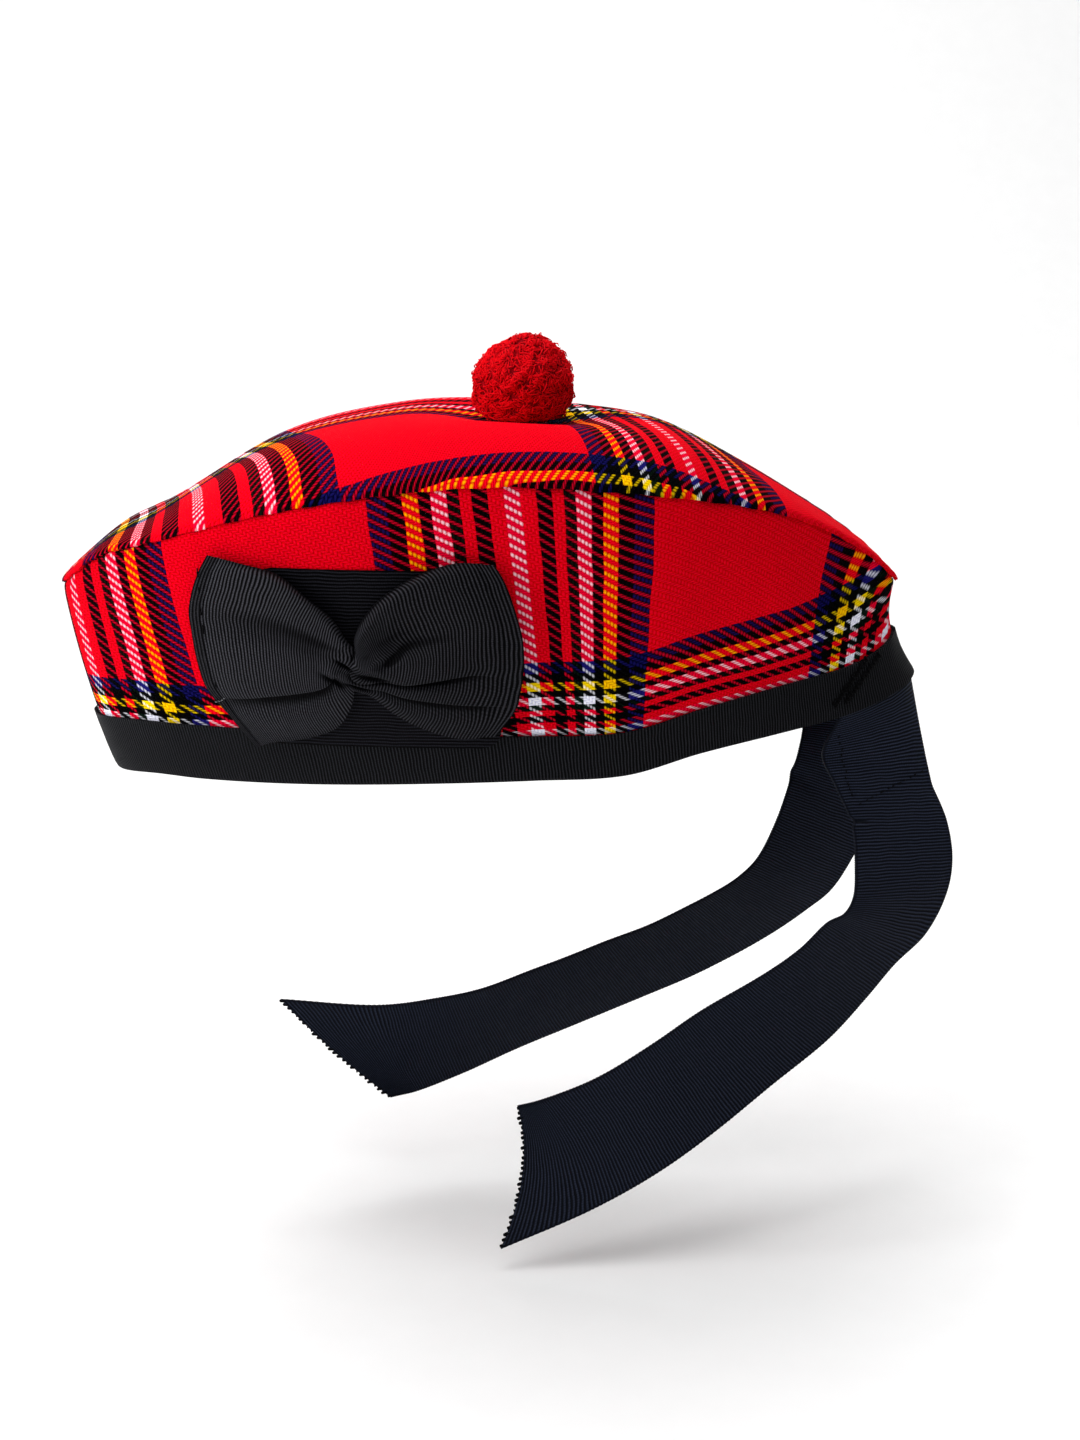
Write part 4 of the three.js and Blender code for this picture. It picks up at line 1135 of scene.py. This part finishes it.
tail_right, right_middle, _, right_length = make_tail(
    "tail_right_ribbon", -1, RIGHT_TAIL, reach=174, drop=131, spread=13, hollow=-1.8, ripples=RIGHT_RIPPLES)
finish_piece(tail_left, tail_grosgrain, "grosgrain", "tail_left")
finish_piece(tail_right, tail_grosgrain, "grosgrain", "tail_right")

# %% [markdown]

# %% [markdown]
# A few seams show on the black ribbon: a line of stitches down the left tail's top, one across it,
# two rows of zigzag where the band's ends were joined, and the tacking of the bow's front edge.
# They could be drawn in the ribbon's material, but a thread stands proud and takes the light. So
# each stitch is a short thread from where the needle came up to where it went down.

# %% Threads between points
THREAD_RADIUS = 0.22
TUBE_SIDES = 4
STITCH_STEPS = 7


def tubes(spine, side, other, thick):
    """Closed tubes round many spines at once: rings of corners, walls between rings and a flat
    face at each end. spine is tubes by steps by 3, and thick the radius at each step."""
    count, steps = spine.shape[:2]
    turn = np.linspace(0, 2 * np.pi, TUBE_SIDES, endpoint=False)
    ring = side[:, None, None] * np.cos(turn)[:, None] + other[:, None, None] * np.sin(turn)[:, None]
    points = (spine[:, :, None] + ring * thick[None, :, None, None]).reshape(-1, 3)
    tube, step, edge = np.meshgrid(np.arange(count), np.arange(steps - 1), np.arange(TUBE_SIDES),
                                   indexing="ij")
    here = (tube * steps + step) * TUBE_SIDES
    following = (edge + 1) % TUBE_SIDES
    walls = np.stack([here + edge, here + following, here + following + TUBE_SIDES,
                      here + edge + TUBE_SIDES], -1).reshape(-1, 4)
    first = np.arange(count)[:, None] * steps * TUBE_SIDES
    roots = first + np.arange(TUBE_SIDES)[::-1]
    tips = first + (steps - 1) * TUBE_SIDES + np.arange(TUBE_SIDES)
    corners = np.concatenate([walls, roots, tips])
    a, b, c = (points[corners[:, k]] for k in range(3))
    if (a * np.cross(b, c)).sum() + (a * np.cross(c, points[corners[:, 3]])).sum() < 0:
        corners = corners[:, ::-1]
    return points, corners


# %% Places that the photograph shows
def between(pixels, count, zigzag=0):
    """Ends of stitches, evenly spaced along a line of pixels, alternately to its two sides."""
    line = np.array(pixels, dtype=float)
    lengths = np.concatenate([[0], np.cumsum(np.linalg.norm(np.diff(line, axis=0), axis=-1))])
    at = np.linspace(0, lengths[-1], count)
    ends = np.stack([np.interp(at, lengths, line[:, k]) for k in (0, 1)], -1)
    way = (line[-1] - line[0]) / np.linalg.norm(line[-1] - line[0])
    out = np.array([way[1], -way[0]]) * zigzag / 2
    return ends + out * np.where(np.arange(count) % 2, 1, -1)[:, None]


def on_tail(middle, normal, pixels):
    """The tail's outside where the camera sees given pixels: the nearest of its grid's points."""
    seen = seen_pixel(middle).reshape(-1, 2)
    nearest = np.linalg.norm(seen[None] - pixels[:, None], axis=-1).argmin(axis=1)
    facing = normal.reshape(-1, 3)[nearest]
    facing = facing * -np.sign(facing[:, 1:2])
    return middle.reshape(-1, 3)[nearest] + facing * (TAIL_HALF + 0.05)


def on_hat(pixels, lift):
    """The wall's points, lifted off the cloth, that the camera sees at given pixels."""
    off = (pixels - KNOT_PIXEL) * np.array([1, -1])
    seen = np.concatenate([off, np.full((len(off), 1), lift - COCKADE_LIFT)], -1)
    x, z, height = np.moveaxis(laid_where_seen(seen), -1, 0)
    return wall_at(x, z, height)


# %% Rows of thread
def make_stitches(name, starts, stops, thread, radius=THREAD_RADIUS):
    """A row of threads, each a half round from one point up and over to the other."""
    along = np.linspace(0, 1, STITCH_STEPS)
    run = stops - starts
    out = np.zeros_like(run)
    out[:, 1] = -1
    rise = 0.12 * np.sin(np.pi * along) - 0.1 * np.abs(2 * along - 1) ** 3
    spine = starts[:, None] + run[:, None] * along[:, None] + out[:, None] * rise[:, None]
    other = np.cross(run, out)
    other /= np.linalg.norm(other, axis=-1, keepdims=True)
    points, walls = tubes(spine, out, other, np.full(STITCH_STEPS, radius))
    piece = make_piece(name, points, walls, np.zeros(walls.shape + (2,)))
    return finish_piece(piece, thread)


def sewing_thread(name, code):
    """Spun polyester thread: dull, and its two plies show as slanting bands with painted shade between
    them.
    """
    material, tree = new_material(name)
    place = node(tree, "ShaderNodeTexCoord", out=3)
    # The plies are too fine to show, so at this scale their bands are 0.9 mm apart
    plies = node(tree, "ShaderNodeTexWave", place, bands_direction="DIAGONAL",
                 named={"Scale": 700.0, "Distortion": 1.0})
    # The near-black between the plies' bands is painted shade in their grooves
    colour = node(tree, MIX, plies, data_type="RGBA", out=2,
                  named={6: linear("#020203"), 7: linear(code)})
    surface = node(tree, "ShaderNodeBsdfPrincipled", named={
        "Base Color": colour, "Roughness": 0.6, "Specular IOR Level": 0.03})
    node(tree, "ShaderNodeOutputMaterial", surface)
    return material


black_thread = sewing_thread("black_polyester_thread", "#0a0a0c")
grey_thread = sewing_thread("grey_polyester_thread", "#6a6a6e")
print("two sewing threads made")

# %% Stitches, where the photograph shows them
# Pixels along each row, and how many stitches' ends lie on it
TAIL_ROWS_OF_STITCHES = [("tail_down_stitches", [(838, 736), (843, 765), (851, 797)], 22),
                         ("tail_cross_stitches", [(859, 805), (883, 791), (922, 771)], 24)]
ZIGZAG_ROWS = [("zigzag_front", [(867, 658), (834, 706)]), ("zigzag_rear", [(880, 654), (845, 703)])]
ZIGZAG_ENDS = 26
ZIGZAG_PIXELS = 6
ZIGZAG_RADIUS = 0.4
BOW_HEM = [(197, 568), (200, 606), (206, 652), (217, 690)]
BOW_HEM_ENDS = 14
for name, pixels, count in TAIL_ROWS_OF_STITCHES:
    row = on_tail(left_middle, left_normal, between(pixels, count))
    make_stitches(name, row[0::2], row[1::2], black_thread)
for name, pixels in ZIGZAG_ROWS:
    row = on_hat(between(pixels, ZIGZAG_ENDS, ZIGZAG_PIXELS), BAND_OUTSIDE)
    make_stitches(name, row[:-1], row[1:], black_thread, ZIGZAG_RADIUS)
row = on_hat(between(BOW_HEM, BOW_HEM_ENDS), COCKADE_LIFT + 2.0)
make_stitches("bow_hem_stitches", row[0::2], row[1::2], black_thread)
print("stitches laid")

# %% [markdown]
# The tails' ends are cut across and left raw, so the ribs' cords stand out of them unevenly, and
# a few threads have come loose on the bow. A ragged edge could be painted as holes in the ribbon,
# but it is seen against the pale floor, so short stubs of thread are set along the cut.

# %% Cut ends and loose threads
CUT_ENDS = 27
CUT_END_RADIUS = 0.62
LOOSE_PIXELS = np.array([[191, 566], [195, 561], [193, 571], [197, 569]])
STRAY_PIXELS = np.array([[215, 702], [221, 701], [221, 701], [226, 697]])


def make_cut_ends(name, middle, seed):
    """The cut ribs' ends along a tail's end: a row of short straight stubs of uneven length that
    carry on the way that the tail's last rows run."""
    random = np.random.default_rng(seed)
    at = (np.arange(CUT_ENDS) + 0.5) / CUT_ENDS * (middle.shape[1] - 1)
    columns_at = np.arange(middle.shape[1])
    ends, before = (np.stack([np.interp(at, columns_at, row[:, k]) for k in range(3)], -1)
                    for row in (middle[-1], middle[-3]))
    way = (ends - before) / np.linalg.norm(ends - before, axis=-1, keepdims=True)
    long = random.uniform(0.3, 1.35, CUT_ENDS)
    along = np.array([-0.6, 0.1, 0.7, 1.0])
    spine = ends[:, None] + way[:, None] * (long[:, None] * along)[..., None]
    other = np.cross(way, [0.2, 1.0, 0.1])
    other /= np.linalg.norm(other, axis=-1, keepdims=True)
    side = np.cross(way, other)
    points, corners = tubes(spine, side, other, CUT_END_RADIUS * np.array([1.0, 1.0, 1.0, 0.5]))
    piece = make_piece(name, points, corners, np.zeros(corners.shape + (2,)))
    return finish_piece(piece, black_thread)


make_cut_ends("tail_left_cut_ends", left_middle, 3)
make_cut_ends("tail_right_cut_ends", right_middle, 5)
loose = on_hat(LOOSE_PIXELS, 0.2)
make_stitches("loose_ends", loose[0::2], loose[1::2], black_thread)
stray = on_hat(STRAY_PIXELS, COCKADE_LIFT + 1.7)
make_stitches("stray_thread", stray[0::2], stray[1::2], grey_thread)
print(2 * CUT_ENDS, "cut ends and", (len(loose) + len(stray)) // 2, "loose threads")

# %% [markdown]
# The pompom is wool yarn tied in its middle, cut and rubbed until it mats. Blender's hair could
# grow its strands, but they have to be a mesh for the model to keep them. A lumpy ball stands for
# the wool that can't be seen into, and thousands of thin curled strands lie over it, the ones near
# each other the same way, as tufts do. All strands are one mesh made from arrays.

# %% Yarn of the pompom
# Painted shade from how deep a strand lies, and tone from its dye: where the yarn is darkest, and
# where it is brightest
YARN_DARK = 0.45
YARN_LIT = 11 / 12


def yarn_wool():
    """Dyed wool yarn: matt, with a soft glow at its edges and painted shade down between the strands."""
    material, tree = new_material("cut_wool_yarn")
    cloth = node(tree, "ShaderNodeUVMap", uv_map="cloth")
    across = node(tree, "ShaderNodeSeparateXYZ", cloth)
    depth = across.node.outputs[1]
    place = node(tree, "ShaderNodeTexCoord", out=3)
    # Tufts that took more or less dye, about 4 mm across
    patch = node(tree, "ShaderNodeTexNoise", place, named={"Scale": 240.0, "Detail": 3.0})
    # Painted shade that deepens with a strand's depth, plus the tufts' dye
    mixed = node(tree, MATH, patch, 0.55, depth, operation="MULTIPLY_ADD")
    ramp_colour = node(tree, "ShaderNodeValToRGB", mixed)
    ramp = ramp_colour.node.color_ramp
    ramp.elements[0].position = YARN_DARK
    ramp.elements[0].color = linear("#7c000c")
    ramp.elements[1].position = YARN_LIT
    ramp.elements[1].color = linear("#d4000e")
    surface = node(tree, "ShaderNodeBsdfPrincipled", named={
        "Base Color": ramp_colour, "Roughness": 0.9, "Sheen Weight": 0.012, "Sheen Roughness": 0.4,
        "Specular IOR Level": 0.06})
    node(tree, "ShaderNodeOutputMaterial", surface)
    return material


# %% Form of the pompom
# Directions and shifts of the ball's lumps, with their sizes
LUMPS = [((9, 4, 3), 0.4, 0.014), ((-4, 8, 6), 1.9, 0.014), ((3, -5, 11), 3.1, 0.012),
         ((17, 9, -12), 0.9, 0.010), ((-13, 16, 10), 2.2, 0.010)]
CORE_RINGS = 90
CORE_SIDES = 150
# Reaches of the core's two faces, as shares of the way out, and how deep its wool is shaded
CORE_REACH = 0.915
CORE_INSIDE = 0.6
CORE_DEPTH = 0.25


def pompom_place(way, reach):
    """The place in mm at a share of the way from the ball's middle in a direction: a ball that
    is widest low down, flat under and a little higher towards the back."""
    low, high = (np.array(corner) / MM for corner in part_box("pompom"))
    half = (high - low) / 2 - 0.5
    under = np.maximum(-way[..., 2], 0)
    full = (1 - under ** 4) ** 0.25 / np.sqrt(np.maximum(1 - under ** 2, 0.02))
    wide = np.minimum(full, 1.6) * (1 - 0.17 * np.maximum(way[..., 2], 0) ** 1.5)
    lumps = np.zeros_like(wide)
    for across, turn, size in LUMPS:
        lumps = lumps + size * np.sin(way @ np.array(across) + turn)
    place = way * half * (reach * (1 + lumps))[..., None]
    place[..., :2] *= wide[..., None]
    place[..., 0] += 1.6 * np.maximum(way[..., 2], 0) * reach
    place[..., 2] = np.maximum(place[..., 2], -half[2] * 0.98)
    return (low + high) / 2 + place


def make_core():
    """The ball under the strands: a sphere by its two angles, shaped by pompom_place."""
    u = np.linspace(0, 2 * np.pi, CORE_SIDES + 1)[:, None]
    v = np.linspace(-np.pi / 2, np.pi / 2, CORE_RINGS)[None, :]
    ball = np.stack([np.cos(v) * np.cos(u), np.cos(v) * np.sin(u), np.sin(v) + 0 * u], -1)
    outer = pompom_place(ball, np.full(ball.shape[:2], CORE_REACH))
    inner = pompom_place(ball, np.full(ball.shape[:2], CORE_INSIDE))
    core = shell("pompom_core", outer, inner, np.full(ball.shape[:2] + (2,), CORE_DEPTH), wrap=True)
    close_poles(core)
    return core


# %% Strands of the pompom
# Directions and shifts of the way that tufts lie
TUFT_FIELD = [((11, 7, -9), 0.3), ((-8, 12, 10), 1.4), ((9, -10, 12), 2.6)]
STRANDS = 6500
STRAND_RADIUS = 0.2
STRAND_ROOT = 0.9
# The share of strands that stand out of the rest, and how much further they reach
LOOSE_SHARE = 0.07
LOOSE_REACH = 0.07


def make_strands():
    """Thousands of short curled strands. Each starts in the ball, rises to its outside by half a
    wave and turns over sideways, and is one thin tube."""
    random = np.random.default_rng(7)
    height = random.uniform(-0.97, 1, STRANDS)
    around = random.uniform(0, 2 * np.pi, STRANDS)
    level = np.sqrt(1 - height ** 2)
    way = np.stack([level * np.cos(around), level * np.sin(around), height], -1)
    # Strands of one tuft lie the same way: their sideways turn is a smooth field over the ball
    field = np.stack([np.sin(way @ np.array(f) + t) for f, t in TUFT_FIELD], -1)
    sideways = field + random.normal(0, 0.55, (STRANDS, 3))
    sideways -= way * (sideways * way).sum(-1, keepdims=True)
    sideways /= np.linalg.norm(sideways, axis=-1, keepdims=True)
    along = np.linspace(0, 1, 4)
    curl = random.uniform(0.08, 0.3, STRANDS)
    rise = random.uniform(0.02, 0.07, STRANDS)
    spine_way = way[:, None] + sideways[:, None] * (curl[:, None] * along ** 1.3)[..., None]
    spine_way /= np.linalg.norm(spine_way, axis=-1, keepdims=True)
    reach = STRAND_ROOT + rise[:, None] * np.sin(np.pi * (0.1 + 0.8 * along))
    stands_out = random.uniform(0, 1, STRANDS) > 1 - LOOSE_SHARE
    reach = reach + (stands_out[:, None] * LOOSE_REACH) * along
    spine = pompom_place(spine_way, reach)
    other = np.cross(way, sideways)
    thick = STRAND_RADIUS * np.array([1.0, 1.2, 1.1, 0.5])
    points, walls = tubes(spine, way, other, thick)
    # Strands that reach less far out get more painted shade
    depth = np.repeat(np.clip((reach - 0.88) / 0.1, 0, 1), TUBE_SIDES)
    cloth = np.stack([0 * depth, depth.reshape(-1)], -1)
    print("pompom strands", STRANDS, "triangles", len(walls) * 2)
    return make_piece("pompom_yarn", points, walls, cloth[walls])


yarn = yarn_wool()
pompom_strands = make_strands()
pompom_core = make_core()
finish_piece(pompom_core, yarn, "pompom_wool", "pompom")
finish_piece(pompom_strands, yarn, "pompom_wool")

# %% [markdown]
# A pale floor lies under the tails' ends, with a wall that rises from it in a long curve, so
# that no line shows behind the hat. A plain white world could stand for it, but then nothing would
# catch the hat's faint shadow. A large soft light overhead and a weaker one from the front stand
# for the photograph's flat studio light, and a third one lights the wall.

# %% Floor and light
FLOOR_DROP = 152
FLOOR_STEPS = 72
WALL_START = 900
WALL_RADIUS = 900


def make_floor():
    """A sheet that runs level towards the camera and curves up behind the hat: its height is
    zero, then grows as a quarter circle, then straight up."""
    run = np.linspace(-3000, 4200, FLOOR_STEPS + 1)[:, None]
    wide = np.linspace(-4000, 4000, 3)[None, :]
    past = np.maximum(run - WALL_START, 0)
    bent = np.minimum(past / WALL_RADIUS, np.pi / 2)
    y = np.minimum(run, WALL_START) + WALL_RADIUS * np.sin(bent)
    z = WALL_RADIUS * (1 - np.cos(bent)) + np.maximum(past - WALL_RADIUS * np.pi / 2, 0)
    points = np.stack([wide + 0 * run, y + 0 * wide, z - FLOOR_DROP + 0 * wide], -1)
    count = points.shape[1]
    col, row = np.meshgrid(np.arange(FLOOR_STEPS), np.arange(count - 1), indexing="ij")
    first = (col * count + row).reshape(-1)
    corners = np.stack([first, first + 1, first + count + 1, first + count], -1)
    floor = make_piece("studio_floor", points.reshape(-1, 3), corners, np.zeros((len(corners), 4, 2)))
    # Matt background paper: pale, with a grain so faint that it only keeps it from looking flat
    material, tree = new_material("matt_studio_paper")
    place = node(tree, "ShaderNodeTexCoord", out=3)
    grain = node(tree, "ShaderNodeTexNoise", place, named={"Scale": 60.0, "Detail": 4.0})
    tone = node(tree, MIX, grain, data_type="RGBA", out=2,
                named={6: linear("#f6f6f6"), 7: linear("#fafafa")})
    surface = node(tree, "ShaderNodeBsdfPrincipled", named={"Base Color": tone, "Roughness": 0.95})
    node(tree, "ShaderNodeOutputMaterial", surface)
    floor.data.materials.append(material)
    return floor


make_floor()

# %% Air and lamps
AIR_STRENGTH = 0.27
world = bpy.data.worlds.new("studio_air")
world.use_nodes = True
world.node_tree.nodes["Background"].inputs[0].default_value = (1, 1, 1, 1)
world.node_tree.nodes["Background"].inputs[1].default_value = AIR_STRENGTH
bpy.context.scene.world = world


def soft_light(name, place, toward, size, power):
    """A square lamp in mm, turned to face a point: tilted from straight down by the gaze's angle
    to that, and then turned to the gaze's side."""
    lamp = bpy.data.lights.new(name, "AREA")
    lamp.size = size * MM
    lamp.energy = power
    holder = bpy.data.objects.new(name, lamp)
    bpy.context.collection.objects.link(holder)
    holder.location = np.array(place) * MM
    gaze = np.array(toward, dtype=float) - np.array(place, dtype=float)
    tilt = np.arccos(-gaze[2] / np.linalg.norm(gaze))
    holder.rotation_euler = (tilt, 0, np.arctan2(gaze[1], gaze[0]) - np.pi / 2)
    return holder


soft_light("overhead_softbox", (-250, -150, 1100), (0, 0, 40), 900, 10.5)
soft_light("left_softbox", (-1200, -500, 450), (0, 0, 30), 700, 12)
soft_light("backdrop_lamp", (0, 1400, 2300), (0, 1900, 900), 2000, 40)
bpy.context.scene.view_settings.view_transform = "Standard"
print("three lamps and the air's light set")
